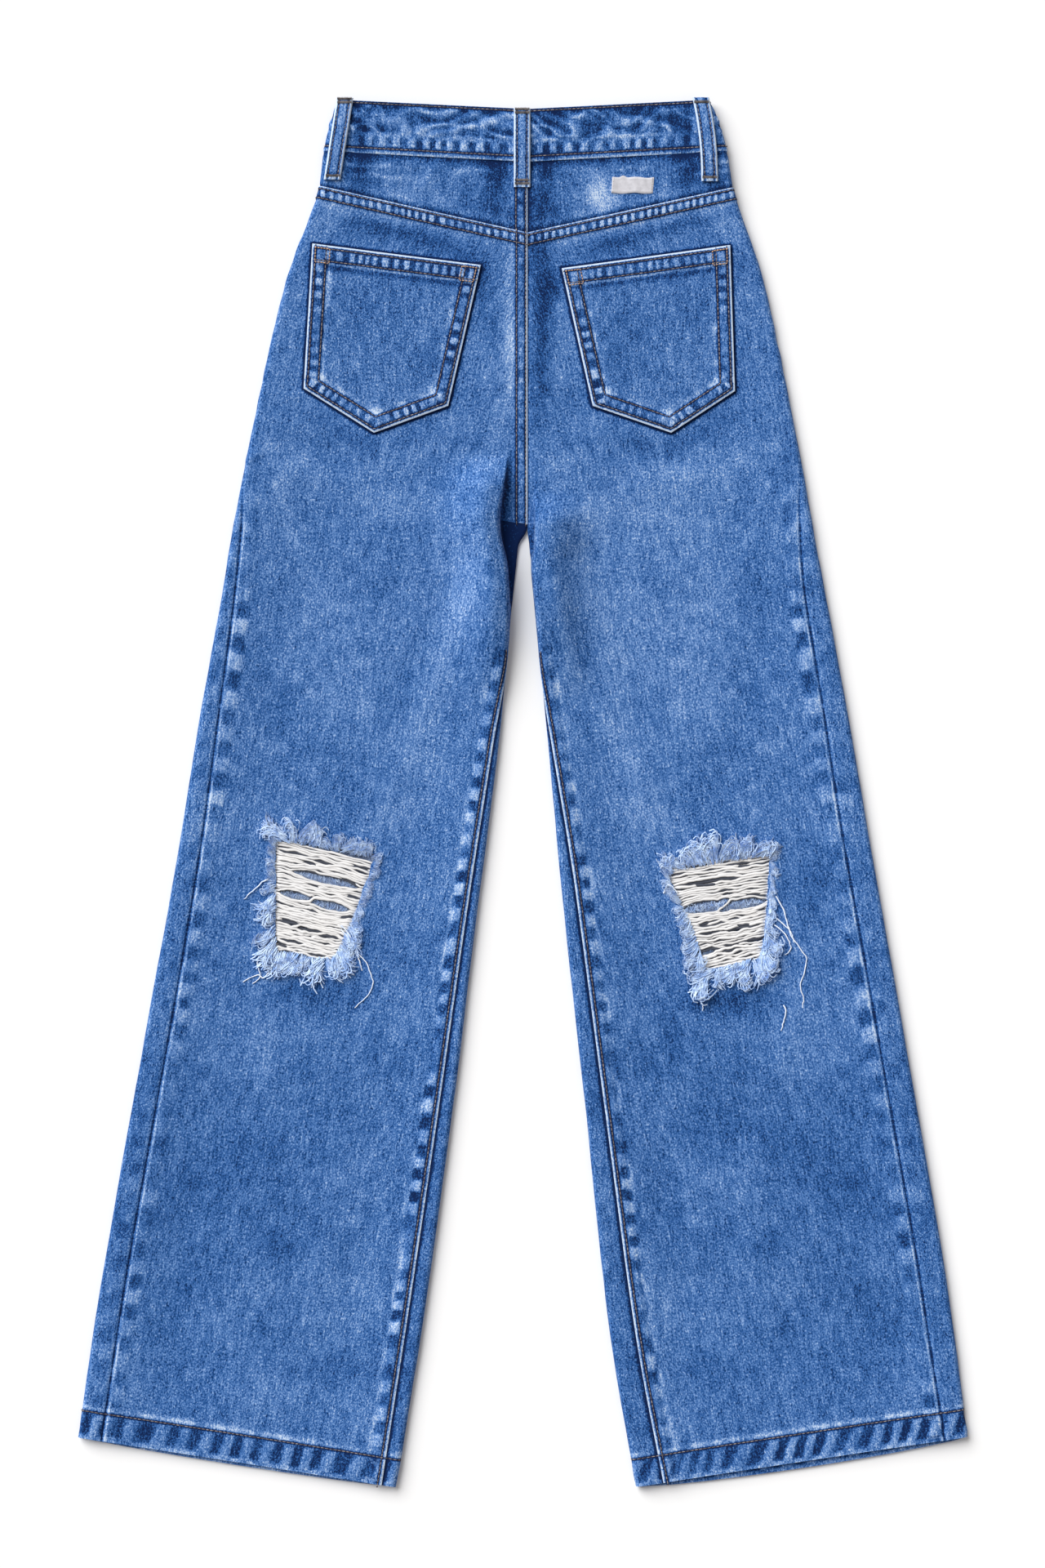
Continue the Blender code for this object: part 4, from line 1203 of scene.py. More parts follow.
def back_cloth(side, places, columns, valley):
    """The upper cloth of the seat and leg, from the outseam to the inner seam."""
    cloth = empty_cloth(len(places), columns + 1 + valley)
    for i, (place, section) in enumerate(zip(places, sections_at(side.leg, places))):
        whole = place > CROTCH
        line, arc, marks = contour(section, whole)
        start = marks["outer"] + section.outseam
        last = end = inseam_arc(section, marks) if whole else marks["foot"]
        arcs = spread(start, end, columns, ((start, 2.0, 9.0), (end, 2.4, 9.0)))
        if not whole:
            last = marks["end"]
            arcs = np.concatenate([arcs, np.linspace(end, last, valley + 1)[1:]])
            cloth.past[i] = arcs - end
        fill_row(cloth, i, on_contour(side, section, line, arc, arcs), arcs - start, last - arcs)
    return cloth


def front_cloth(side, places, strip, under, wrap):
    """The lower cloth: from the outseam under the leg and up to the inseam."""
    cloth = empty_cloth(len(places), strip + under + wrap + 1)
    for i, (place, section) in enumerate(zip(places, sections_at(side.leg, places))):
        line, arc, marks = contour(section, place >= CROTCH)
        last = start = marks["outer"] + section.outseam
        bend = min(marks["outer"] - 12.0, start - 14.0)
        arcs = np.concatenate([np.linspace(start, bend, strip + 1), np.linspace(bend, 0, under + 1)[1:]])
        run = start - arcs
        if place >= CROTCH:
            seam = inseam_arc(section, marks)
            round_it = np.linspace(marks["end"], seam, wrap + 1)[1:]
            arcs = np.concatenate([arcs, round_it])
            run = np.concatenate([run, start + marks["end"] - round_it])
            last = start + marks["end"] - seam
        fill_row(cloth, i, on_contour(side, section, line, arc, arcs), run, last - run)
    return cloth


def end_distances(side, cloth):
    """How far points lie below the yoke seam and above the hem's edge."""
    across = abs(cloth.points[..., 0])
    yoke, hem = side.leg[YOKE], side.leg[HEM]
    slope = math.cos(math.atan2(hem.outer_y - hem.inner_y, hem.outer_x - hem.inner_x))
    to_top = (along(yoke, side.sign * cloth.points[..., 0]) - cloth.points[..., 1]) * 0.975
    to_hem = (cloth.points[..., 1] - along(hem, across)) * slope
    return to_top, to_hem


def inside_hole(side, x, y):
    """How far points lie inside the rip's ragged hole; below 0, how far outside."""
    hole = on_side(side, RIPS[side.name].hole)
    return inside_outline(hole, x, y) + 0.8 * mottle(x, y, 4.5, side.seed + 640)


def drawn_to_hole(side, cloth):
    """The cells outside the hole, whose edge points are drawn onto its outline."""
    x, y = cloth.points[..., 0].copy(), cloth.points[..., 1].copy()
    nearest = inside_hole(side, x, y)
    hole = (nearest[:-1, :-1] + nearest[1:, 1:] + nearest[:-1, 1:] + nearest[1:, :-1]) > 0
    padded = np.pad(hole, 1)
    around = [padded[:-1, :-1], padded[1:, :-1], padded[:-1, 1:], padded[1:, 1:]]
    rim = np.any(around, axis=0) & ~np.all(around, axis=0)
    step = 0.01
    slope_x = (inside_hole(side, x + step, y) - nearest) / step
    slope_y = (inside_hole(side, x, y + step) - nearest) / step
    cloth.points[..., 0] -= np.where(rim, nearest * slope_x, 0)
    cloth.points[..., 1] -= np.where(rim, nearest * slope_y, 0)
    return ~hole


def hem_dressing(cloth, look, to_hem, seed):
    """The hem: slanting puckers, a row of stitches, and worn edges above and below."""
    x = cloth.points[..., 0]
    look.puckers(x, to_hem, 15.3, (2.4, 18.0), 1.05, 0.55, seed, slant=-0.32, soft=3.0)
    fuzz = 0.55 + 0.45 * wander(x, 5.0, seed + 5)
    look.shade += 0.6 * ridge(to_hem, 21.8, 2.1) * fuzz + 0.56 * ridge(to_hem, 0.9, 2.2) * fuzz
    look.shade -= 0.1 * band(to_hem, 0, 20.0, 1.0)
    look.sewn_at(to_hem, HEM_ROW, line=1)


def outseam_dressing(cloth, look, seed, strength):
    """The pressed seam: a groove, a pale edge and uneven puckers beside it."""
    y = cloth.points[..., 1]
    fade = smooth((250 - y) / 90.0)
    look.relief += fade * (0.3 * band(cloth.out, 1.0, 10, 2.4) - 0.6 * ridge(cloth.out, 0, 0.9))
    look.puckers(y, cloth.out, 23.0, (2.0, 11.0), strength, 0.34 * strength, seed, slant=0.2, soft=6.0,
            uneven=0.5)
    look.strength *= np.where(cloth.out < 20, fade, 1)
    look.shade -= fade * 0.46 * ridge(cloth.out, 0, 0.9)
    look.shade += fade * (0.36 + 0.22 * wander(y, 13, seed + 3)) * ridge(cloth.out, 1.7, 0.9) * strength


def lines_across(field, points, distances, shown=True):
    """Such lines at several distances, where the cloth shows."""
    field = np.where(shown, field, np.nan)
    return [line_across(field, points, distance) for distance in distances]


def inseam_dressing(cloth, look, y, seed):
    """The back panel's edge, folded over the front panel."""
    leg = cloth.past <= -FAR
    low = smooth((112 - y) / 36) * leg
    look.felled(cloth.inn, 0.6, 8.5, 0.55, low)
    look.puckers(y, np.where(leg & (y < 104), cloth.inn, FAR), 18.0, (4.6, 11.0), 1.3, 0.36,
            seed, uneven=0.4)
    uneven = 0.35 + wander(y, 11, seed + 2)
    look.shade += low * 0.3 * ridge(cloth.inn, 11.5 + 1.5 * wander(y, 30, seed + 3), 1.5) * uneven
    look.sewn_at(cloth.inn, INSEAM_ROW, (y < 100) & leg)


def yoke_seam_dressing(side, look, x, to_top):
    """The back panel's edge over the yoke, with pale worn lines."""
    seed = side.seed + 20
    look.felled(to_top, 0.75, 9.4, 0.55)
    look.shade += 0.08 * band(to_top, 2, 8, 1.5)
    look.puckers(x, to_top, side.yoke_bars, (1.9, 8.0), 1.3, 0.3, seed, soft=0.8)
    look.shade += 0.2 * ridge(to_top, 10.2, 0.9) * (0.7 + 0.5 * wander(x, 6, seed + 1))
    look.shade += 0.14 * ridge(to_top, 13.0, 2.6) * (0.4 + 0.6 * wander(x, 9, seed + 2))
    look.sewn_in_rows(to_top, YOKE_ROWS)


def centre_dressing(side, cloth, look, y, seed, rows, last_bar, crown, trough):
    """The centre back seam: the left half lies over the right one.

    last_bar is how far the puckers reach, crown how pale the upper edge is, and trough how
    much painted shade darkens the hollow in the right half and how wide it is.
    """
    upper = smooth((y - 178) / 8.0) * (y > 176)
    if side.sign > 0:
        darker, wide = trough
        look.relief -= upper * 0.5 * ridge(cloth.inn, 0, 1.8)
        # painted shade in the hollow beside the left half's lap
        look.shade -= upper * darker * ridge(cloth.inn, 0, wide)
        return
    seat = cloth.past > -FAR
    look.felled(cloth.inn, 0.7, rows[1] + 1.0, 0.55, upper * seat)
    look.shade += crown * upper * seat * ridge(cloth.inn, 0, 0.6)
    look.puckers(y, np.where(seat, cloth.inn, FAR), 9.0, (2.4, last_bar), 0.55, 0.2, seed, soft=1.5)
    look.sewn_in_rows(cloth.inn, rows, seat)


def back_dressing(side, cloth, x, y, to_top, to_hem):
    look = Dressing(x, y)
    seed = side.seed
    outseam_dressing(cloth, look, seed, 0.9)
    inseam_dressing(cloth, look, y, seed + 10)
    yoke_seam_dressing(side, look, x, to_top)
    centre_dressing(side, cloth, look, y, seed + 30, CENTRE_ROWS, 6.6, 0.95, (0.3, 0.9))
    # painted shade in the hollow beside the roll at the inner leg
    hollow = band(y, 160, 236, 44) * (cloth.past > -1.0) * (side.sign < 0)
    look.shade -= hollow * 0.3 * ridge(np.maximum(cloth.past, 0), 0, 5.0)
    hem_dressing(cloth, look, to_hem, seed + 40)
    # painted shadow round the pocket: a dark line on the cloth beside its edge, drawn as a stitch row's
    # groove shade, which also sinks the relief a little
    pocket_shadow_off = -inside_outline(on_side(side, POCKETS[side.name]), x, y)
    look.sewn_at(pocket_shadow_off, 0.7, pocket_shadow_off < 12)
    # the frayed hole pales the cloth round it and lifts its edge a little
    nearest = inside_hole(side, x, y)
    look.shade += 0.1 * ridge(np.maximum(-nearest, 0), 0, 5.0)
    look.relief += 0.3 * ridge(nearest, -4, 5.0)
    return look


def leg_wall(to_hem):
    """Thickness of a leg's cloth, which is folded at the hem."""
    return np.where(to_hem < HEM_DEPTH, sizes().hem_denim, sizes().denim) / MM


def make_back(side):
    places = even_places(side.leg, YOKE, HEM, sizes().grid / MM)
    places = np.sort(np.concatenate([places, (places[:8] + places[1:9]) / 2]))
    cloth = back_cloth(side, places, 84, 8)
    keep = drawn_to_hole(side, cloth)
    x, y, _ = np.moveaxis(cloth.points, 2, 0)
    to_top, to_hem = end_distances(side, cloth)
    look = back_dressing(side, cloth, x, y, to_top, to_hem)
    obj, outer = walled(
        f"back_panel_{side.name}", cloth, look, leg_wall(to_hem), -side.sign,
        [outer_denim(), inner_denim()], (cloth.out, y), keep, to_hem < HEM_DEPTH)
    finish(obj, [f"back_{side.name}"])
    inn = np.where(cloth.valid, cloth.inn, np.nan)
    legs = places > CROTCH + 0.6
    rows = [[point for point in line_across(inn[legs], outer[legs], INSEAM_ROW) if point[1] < 100]]
    if side.sign < 0:
        seat = places <= CROTCH
        rows += lines_across(inn[seat], outer[seat], CENTRE_ROWS)
    over = outer.transpose(1, 0, 2)
    rows += lines_across(to_top.T, over, YOKE_ROWS, cloth.valid.T)
    rows += lines_across(to_hem.T, over, (HEM_ROW,), cloth.valid.T)
    sew(f"stitches_back_{side.name}", rows)


def make_front(side):
    places = even_places(side.leg, 0, HEM, sizes().grid / MM)
    cloth = front_cloth(side, places, 22, 10, 16)
    x, y, z = np.moveaxis(cloth.points, 2, 0)
    to_hem = end_distances(side, cloth)[1]
    look = Dressing(x, y)
    seed = side.seed + 100
    outseam_dressing(cloth, look, seed, 0.35)
    low = smooth((112 - y) / 36)
    # painted shade in the recess beside the back panel's fold, where the relief is sunk too
    look.shade -= 0.85 * ridge(cloth.inn, 0.3, 1.4) * low
    look.relief -= 0.35 * ridge(cloth.inn, 0, 2.0) * low
    hem_dressing(cloth, look, to_hem, seed + 40)
    look.relief *= smooth(z / 2.0)
    # painted shade on the lower layer under the crotch, where the swollen legs shade it; stronger on the left
    deep = smooth((y - 60) / 110) * smooth((34 - cloth.inn) / 10)
    look.shade -= (0.62 if side.sign < 0 else 0.2) * deep
    # the lower layer of the hem peeks out below the upper one
    hem = side.leg[HEM]
    share = np.clip((abs(x) - hem.inner_x) / (hem.outer_x - hem.inner_x), 0, 1)
    drop = side.peek * np.sin(math.pi * share) ** 0.5 * np.clip(1 - z / hem.fold, 0, 1)
    y -= drop * smooth((30 - to_hem) / 30)
    obj, outer = walled(
        f"front_panel_{side.name}", cloth, look, leg_wall(to_hem), side.sign,
        [denim("denim_front", 0.39), inner_denim()], (cloth.out, y), None, to_hem < HEM_DEPTH)
    finish(obj, [f"front_{side.name}"])
    over = outer.transpose(1, 0, 2)
    clear = cloth.valid & (z > 1.8)
    rows = lines_across(to_hem.T, over, (HEM_ROW,), (clear & (cloth.out < 24)).T)
    rows += lines_across(to_hem.T, over, (HEM_ROW,), (clear & (cloth.inn < 22)).T)
    sew(f"stitches_front_{side.name}", [row for row in rows if len(row) > 1])


def make_yoke(side):
    cloth = back_cloth(side, even_places(side.leg, 0, YOKE, 1.0), 120, 8)
    x, y, _ = np.moveaxis(cloth.points, 2, 0)
    to_band = (along(side.leg[0], side.sign * x) - y) * 0.99 - 1.5
    to_seam = (y - along(side.leg[YOKE], side.sign * x)) * 0.975
    look = Dressing(x, y)
    seed = side.seed + 200
    look.relief -= 0.5 * ridge(to_seam, 0, 1.2) + 0.4 * ridge(to_band, 0, 2.0)
    # painted shade: darker under the waistband's edge and along the yoke seam, where the relief is sunk too
    look.shade -= 0.36 * ridge(to_seam, 0, 2.0) + 0.24 * ridge(to_band, 0, 2.4)
    look.shade += 0.12 * ridge(to_seam, 5.0, 2.5) * (0.5 + wander(x, 8, seed))
    # two lines of worn arcs under the waistband
    for k, (depth, period, amount) in enumerate(((6, 17, 0.32), (12, 23, 0.26))):
        arcs = ridge(to_band, depth + 3.5 * abs(wander(x, period, seed + k)), 1.5)
        share = np.clip(0.45 + 0.75 * wander(x, 0.8 * period, seed + 3 + k), 0, 1)
        look.shade += amount * arcs * share
        look.relief += 0.5 * amount * arcs * share
    look.shade += 0.18 * mottle(x, y * 0.6, 8, seed + 7) * (0.6 + 0.6 * mottle(x, y, 31, seed + 8))
    centre_dressing(side, cloth, look, y, seed + 10, YOKE_CENTRE_ROWS, 6.8, 0.6, (0.45, 3.0))
    obj, outer = walled(
        f"yoke_cloth_{side.name}", cloth, look, sizes().denim / MM, -side.sign,
        [denim("denim_yoke", 0.345), inner_denim()], (cloth.out, y))
    finish(obj, [f"yoke_{side.name}"])
    if side.sign < 0:
        sew("stitches_yoke_centre", lines_across(cloth.inn, outer, YOKE_CENTRE_ROWS))


# ---- waistband and pockets


def band_points():
    """Points up the waistband and along both halves, and how far up it they lie."""
    halves = []
    for side in SIDES:
        rows = []
        for section in sections_at(side.band, np.linspace(0, 2, 37)):
            line, arc, marks = contour(section, False)
            arcs = spread(0.3, marks["end"], 190, ((marks["end"] * 0.78, 2.4, 70.0),))
            rows.append(on_contour(side, section, line, arc, arcs))
        halves.append(np.array(rows))
    points = np.concatenate([halves[0], halves[1][:, -2::-1]], axis=1)
    up = np.linspace(0, 1, len(points))[:, None] * 35.5 + np.zeros(points.shape[:2])
    return points, up


def make_waistband():
    points, up = band_points()
    x, y, z = np.moveaxis(points, 2, 0)
    look = Dressing(x, y, 0.6)
    look.puckers(x, up, 10.0, (5.0, 10.8), 1.15, 0.45, 301, soft=2.8, uneven=0.4)
    look.felled(up, 0.45, 3.0, 0.34)
    # crushed cloth above the bars: wrinkles, hollows and thin worn veins
    falling = np.cos(math.tau * ((0.5 * x + y) / 9.0 + 0.8 * mottle(x, y, 16, 311)))
    rising = np.cos(math.tau * ((-0.32 * x + y) / 11.0 + 0.8 * mottle(x, y, 19, 312)))
    knuckles = np.cos(math.tau * (x / 12.0 + 0.5 * mottle(x, y, 22, 313)))
    form = 0.55 * falling * np.clip(0.5 + 1.2 * mottle(x, y, 20, 314), 0, 1)
    form += 0.45 * rising * np.clip(0.5 + 1.2 * mottle(x, y, 24, 315), 0, 1)
    form += 0.4 * knuckles * band(up, 12, 22, 6) + 0.6 * mottle(x, y * 1.5, 11, 316)
    veins = np.clip(1 - 2.8 * abs(mottle(x * 0.8 + 0.5 * y, y * 1.5, 11, 303)), 0, 1)
    middle = band(up, 13.0, 33, 3)
    look.relief += middle * (0.6 * form + 0.4 * veins)
    look.shade += middle * (0.3 * form + 0.34 * veins - 0.16)
    look.shade += 0.26 * ridge(up, 13.2, 1.3) * (0.65 + 0.6 * wander(x, 10, 305))
    look.shade -= 0.14 * band(up, 31.0, 34.5, 2.0)
    look.sewn_in_rows(up, BAND_ROWS)
    look.relief *= smooth((z - 4.0) / 2.0)
    obj, outer = walled(
        "waistband_cloth", whole_cloth(points), look, sizes().band_denim / MM, -1,
        [denim("denim_band", 0.42), inner_denim()], (x, up))
    finish(obj, ["waistband"])
    sew("stitches_waistband", lines_across(up.T, outer.transpose(1, 0, 2), BAND_ROWS, (z > 4.6).T))


def pocket_grid(side):
    """Points of a pocket, down it and from its outer side, and its corners."""
    pocket = POCKETS[side.name]
    down = np.linspace(0, 1, 88)
    across, y = [], []
    for share in np.linspace(0, 1, 81):
        top = mix_point(pocket.outer_top, pocket.inner_top, share)
        if share <= 0.5:
            low = mix_point(pocket.outer_low, pocket.tip, share * 2)
        else:
            low = mix_point(pocket.tip, pocket.inner_low, share * 2 - 1)
        across.append(mix(top[0], low[0], down))
        y.append(mix(top[1], low[1], down))
    return side.sign * np.array(across).T, np.array(y).T, on_side(side, pocket)


def make_pocket(side):
    x, y, corners = pocket_grid(side)
    height = height_map(side, side.sign * x, y) + LAY_GAP + sizes().denim / MM + POCKET_LOFT
    sides = outline_distance(corners, x, y)
    top_off, top_run = sides[0]
    hem = band(top_off, -9, POCKET_HEM, 1.2)
    look = Dressing(x, y, 0.5)
    seed = side.seed + 300
    border = np.minimum.reduce([off for off, _ in sides[1:]])
    nearest = np.minimum(border, top_off)
    look.relief += 0.55 * band(border, -9, 11.0, 2.0) * (1 - 0.5 * hem) + 0.55 * hem
    look.relief -= 0.75 * ridge(nearest, 0, 1.0)
    look.relief -= 0.25 * ridge(border, 11.6, 1.6) + 0.3 * ridge(top_off, POCKET_HEM + 0.8, 1.4)
    look.edge = nearest
    look.pale[:] = 0.78
    for line, (by_side, by_top) in enumerate(zip(POCKET_ROWS, POCKET_TOP_ROWS)):
        look.sewn_at(np.minimum(border - by_side, top_off - by_top), 0, line=line)
    look.puckers(top_run, top_off, 6.6, (3.2, 10.2), 1.1, 0.22, seed, soft=1.0)
    for k, ((off, run), period) in enumerate(zip(sides[1:], (9.5, 7.0, 7.0, 9.5))):
        below_hem = np.where(top_off > POCKET_HEM + 1, off, FAR)
        look.puckers(run, below_hem, period, (3.2, 9.2), 1.25, 0.26, seed + 5 * k + 5,
            soft=1.2, uneven=0.5)
    look.shade += 0.1 * ridge(border, 13.0, 3.0) * (0.4 + 0.6 * mottle(x, y, 9, seed + 40))
    look.shade += 0.34 * ridge(border, 12.4, 1.7) * np.clip(0.3 + mottle(x, y, 5, seed + 41), 0, 1)
    look.shade += 0.42 * ridge(top_off, POCKET_HEM - 0.2, 0.9) * band(border, 2, 999, 3)
    look.shade -= 0.28 * ridge(top_off, POCKET_HEM + 2.6, 2.2) * band(border, 6, 999, 5)
    # pale spots inside the lower corners
    centre = np.mean(corners, axis=0)
    for corner, amount in zip(corners[2:], (0.4, 0.42, 0.44)):
        inward = np.array(corner) + (centre - corner) / np.hypot(*(centre - corner)) * 13
        spot = np.exp(-(((x - inward[0]) ** 2 + (y - inward[1]) ** 2) / 18.0))
        look.shade += amount * spot
        look.relief += 0.4 * spot
    obj, outer = walled(
        f"pocket_cloth_{side.name}", whole_cloth(np.stack([x, y, height], axis=2)), look,
        sizes().denim / MM + POCKET_LOFT, -side.sign,
        [denim("denim_pocket", 0.39, contrast=1.1), inner_denim()], (x, y))
    finish(obj, [f"back_pocket_{side.name}"])
    rows, tacks = pocket_rows(corners, outer)
    sew(f"stitches_pocket_{side.name}", rows, pitch=3.1 * MM)
    sew(f"tacks_pocket_{side.name}", tacks, thread=tack_material(), pitch=2.1 * MM, width=0.9 * MM, pit=0.5)


def inset(corners, distances):
    """Corners of an outline drawn in by a distance at each of its sides."""
    middle = np.mean(corners, axis=0)
    corners = np.array(corners, float)
    lines = []
    for p, q, by in zip(corners, np.roll(corners, -1, axis=0), distances):
        run = unit(q - p)
        normal = np.array([-run[1], run[0]])
        lines.append((p + normal * by * np.sign(np.dot(normal, middle - p)), run))
    found = []
    for (p, r), (q, s) in zip(lines[-1:] + lines, lines):
        t = ((q[0] - p[0]) * s[1] - (q[1] - p[1]) * s[0]) / (r[0] * s[1] - r[1] * s[0])
        found.append(p + r * t)
    return found


def lay_on(outer, line, lift=0.12):
    """Puts points of a flat line on a grid's surface."""
    flat = outer.reshape(-1, 3)
    found = []
    for px, py in line:
        k = int(np.argmin((flat[:, 0] - px) ** 2 + (flat[:, 1] - py) ** 2))
        found.append((px, py, flat[k, 2] + lift))
    return found


def finely(points, step=2.0):
    """Points along a broken line, closely spaced."""
    found = []
    for p, q in zip(points, points[1:]):
        count = max(1, int(math.hypot(q[0] - p[0], q[1] - p[1]) / step))
        found += [mix_point(p, q, k / count) for k in range(count)]
    return found + [points[-1]]


def pocket_rows(corners, outer):
    """Lines of the rows round a pocket and of the tacks in its top corners."""
    first = POCKET_ROWS[0]
    rows = []
    for by in POCKET_ROWS:
        inner = inset(corners, (POCKET_TOP_ROWS[0], by, by, by, by))
        rows.append(lay_on(outer, finely([*inner[1:], inner[0]])))
    for by in POCKET_TOP_ROWS:
        inner = inset(corners, (by, first, first, first, first))
        rows.append(lay_on(outer, finely(inner[:2])))
    line = inset(corners, (POCKET_TOP_ROWS[0], first, first, first, first))
    tacks = []
    for corner, along_top, down in ((line[0], line[1], line[4]), (line[1], line[0], line[2])):
        over = (along_top - corner) / np.hypot(*(along_top - corner)) * TACK_BOX
        fall = (down - corner) / np.hypot(*(down - corner)) * TACK_BOX
        square = [corner, corner + over, corner + over + fall, corner + fall, corner]
        tacks.append(lay_on(outer, finely(square, 1.5), 0.3))
    return rows, tacks


# ---- loops, label, closures


def loop_middle(loop, shares):
    """X and Y of a belt loop's middle line, at shares of its length."""
    x = mix(loop.top[0], loop.bottom[0], shares) + loop.bow * np.sin(np.pi * shares)
    return x, mix(loop.top[1], loop.bottom[1], shares)


def cloth_under(x, y):
    """Height of the waistband or the yoke under a belt loop."""
    side = SIDES[0] if x < CENTRE_SEAM else SIDES[1]
    across = side.sign * x
    waist = side.leg[0]
    over_yoke = height_over(side, min(across, waist.outer_x), min(y, waist.inner_y))
    return max(band_height(side, across, y), over_yoke)


def loop_grid(loop, shares, columns, height):
    """A belt loop's points, how far across it they lie, and how far from its edge."""
    middle, down = loop_middle(loop, shares)
    offsets = np.linspace(-LOOP_WIDTH / 2, LOOP_WIDTH / 2, columns + 1)
    x = middle[:, None] + offsets
    points = np.stack([x, down[:, None] + 0 * x, height[:, None] + 0 * x], axis=2)
    return points, offsets, LOOP_WIDTH / 2 - abs(offsets) + 0 * x


def loop_cloth(loop, points, look, wall, lining):
    obj, outer = walled(
        loop.node.replace("belt_loop", "loop_cloth"), whole_cloth(points), look, wall, 1,
        [denim("denim_loop", 0.53, groove=0.5), *lining], (points[..., 0], points[..., 1]))
    finish(obj, [loop.node])
    return outer


def make_back_loop(loop):
    """A belt loop that shows, and the lines of its rows and tacks."""
    shares = np.linspace(0, 1, LOOP_STEPS + 1)
    height = [max(cloth_under(x + off, y) for off in (-LOOP_WIDTH / 2, 0, LOOP_WIDTH / 2))
              for x, y in zip(*loop_middle(loop, shares))]
    height = np.array(height) + LAY_GAP + LOOP_ARCH * np.sin(np.pi * shares)
    height = np.convolve(np.pad(height, 3, "edge"), np.ones(7) / 7, "valid")
    points, offsets, edge = loop_grid(loop, shares, 20, height + LOOP_WALL + 0.05)
    x, y, _ = np.moveaxis(points, 2, 0)
    to_low = (1 - shares)[:, None] * LOOP_LENGTH + 0 * x
    to_end = np.minimum(shares, 1 - shares)[:, None] * LOOP_LENGTH + 0 * x
    look = Dressing(x, y, 0.0)
    look.edge = edge
    look.pale[:] = 0.8
    look.sewn_at(edge, 2.4)
    look.relief += 0.22 * ridge(edge, 1.0, 0.9) - 0.28 * ridge(edge, 2.3, 0.7) - 0.7 * ridge(edge, 0, 0.6)
    look.relief += 0.12 * mottle(x, y, 6, 401) + 0.3 * ridge(to_end, 1.6, 1.4)
    look.shade = 0.34 * band(to_low, -9, 2.6, 0.8) - 0.3 * ridge(to_low, 4.2, 0.9)
    outer = loop_cloth(loop, points, look, LOOP_WALL, [inner_denim()])

    def on_loop(row, off, lift):
        """The point of a row at a distance off the middle line, and a little above it."""
        px, pz = (np.interp(off, offsets, outer[row, :, k]) for k in (0, 2))
        return px, y[row, 0], pz + lift

    sewn = LOOP_WIDTH / 2 - LOOP_ROW
    rows = [[on_loop(row, off, 0.1) for row in range(3, LOOP_STEPS - 2)] for off in (-sewn, sewn)]
    tacks = []
    reach = LOOP_WIDTH / 2 - 0.9
    for share in (0.035, 0.935):
        for off in np.linspace(-reach, reach, 19):
            px, py, pz = on_loop(round(share * LOOP_STEPS), off, 0.15)
            tacks.append([(px, py - 1.2, pz), (px, py + 1.2, pz)])
    return rows, tacks


def make_front_loop(loop):
    shares = np.linspace(0, 1, 31)
    points, _, edge = loop_grid(loop, shares, 12, np.full(31, 1.6))
    look = Dressing(points[..., 0], points[..., 1], 0.0)
    look.edge = edge
    look.relief -= 0.4 * ridge(edge, 0, 0.6)
    loop_cloth(loop, points, look, 1.2, [])


def make_label():
    """The bare woven label, stitched down at its ends."""
    wide, high = LABEL_SIZE
    u = np.linspace(-0.5, 0.5, 41)[None, :]
    v = np.linspace(0.5, -0.5, 19)[:, None]
    x = LABEL_CENTRE[0] + wide * u + 0.9 * v
    bump = 1.7 * ridge(u, -0.24, 0.07)
    y = LABEL_CENTRE[1] + high * v + np.where(v > 0, bump * v * 2, 0) + 0.35 * np.sin(u * 11 + 1) * abs(v) * 2
    waves = 0.25 * np.sin(u * 9 + 0.6) + 0.16 * np.sin(u * 24 + v * 5)
    height = height_map(SIDES[1], x, y) + LAY_GAP + 0.75 + waves
    edge = np.minimum((0.5 - abs(u)) * wide, (0.5 - abs(v)) * high)
    look = Dressing(x, y, 0.0)
    look.relief = -0.35 * ridge(edge, 0, 0.6) + 0.1 * ridge(edge, 1.2, 0.6)
    look.edge = edge
    obj, outer = walled("label_cloth", whole_cloth(np.stack([x, y, height], axis=2)), look, 0.6, 1,
                        [label_material()], (x, y))
    finish(obj, ["rear_label"])
    corners = [(x[i, j], y[i, j]) for i, j in ((0, 0), (0, -1), (-1, -1), (-1, 0))]
    inner = inset(corners, (1.0, 1.0, 1.0, 1.0))
    ends = [lay_on(outer, finely(end, 0.8), 0.1) for end in (inner[1:3], inner[::3])]
    thread = fibre_material("label_thread", (0.35, 0.3, 0.3), (0.75, 0.66, 0.6), 500)
    sew("stitches_label", ends, thread=thread, pitch=1.6 * MM, width=0.35 * MM, pit=0.3)


def label_material():
    """Woven tape: fine ribs, a little creased and rubbed."""
    material, tree, shader = new_material(
        "label_weave", 0.55, Sheen_Weight=0.3, Specular_IOR_Level=0.35)
    cloth = attribute(tree, "cloth")
    _, ribs = node(tree, "ShaderNodeTexWave", {"Vector": cloth, "Scale": 500.0, "Distortion": 1.0},
                   bands_direction="Y")
    share = ribs * 0.25 + noise(cloth, (260, 320, 1), 3.0, 0.6)
    pick = colours().label
    surfaced(shader, mixed(share, shifted(pick, 0.55), shifted(pick, 1.12)), share, 0.5, 0.2)
    return material


def metal_material(name, bright, dull):
    """Aged metal: dull in specks, scratched finely."""
    material, tree, shader = new_material(name, 0.4, Metallic=1.0)
    place = object_place(tree)
    scratches = noise(place, (300, 2400, 900))
    put(scratches * 0.3 + 0.22, shader.inputs["Roughness"])
    surfaced(shader, mixed(noise(place, 700.0, 3.0, 0.6), dull, bright), scratches, 0.2, 0.1)
    return material


# ---- rips


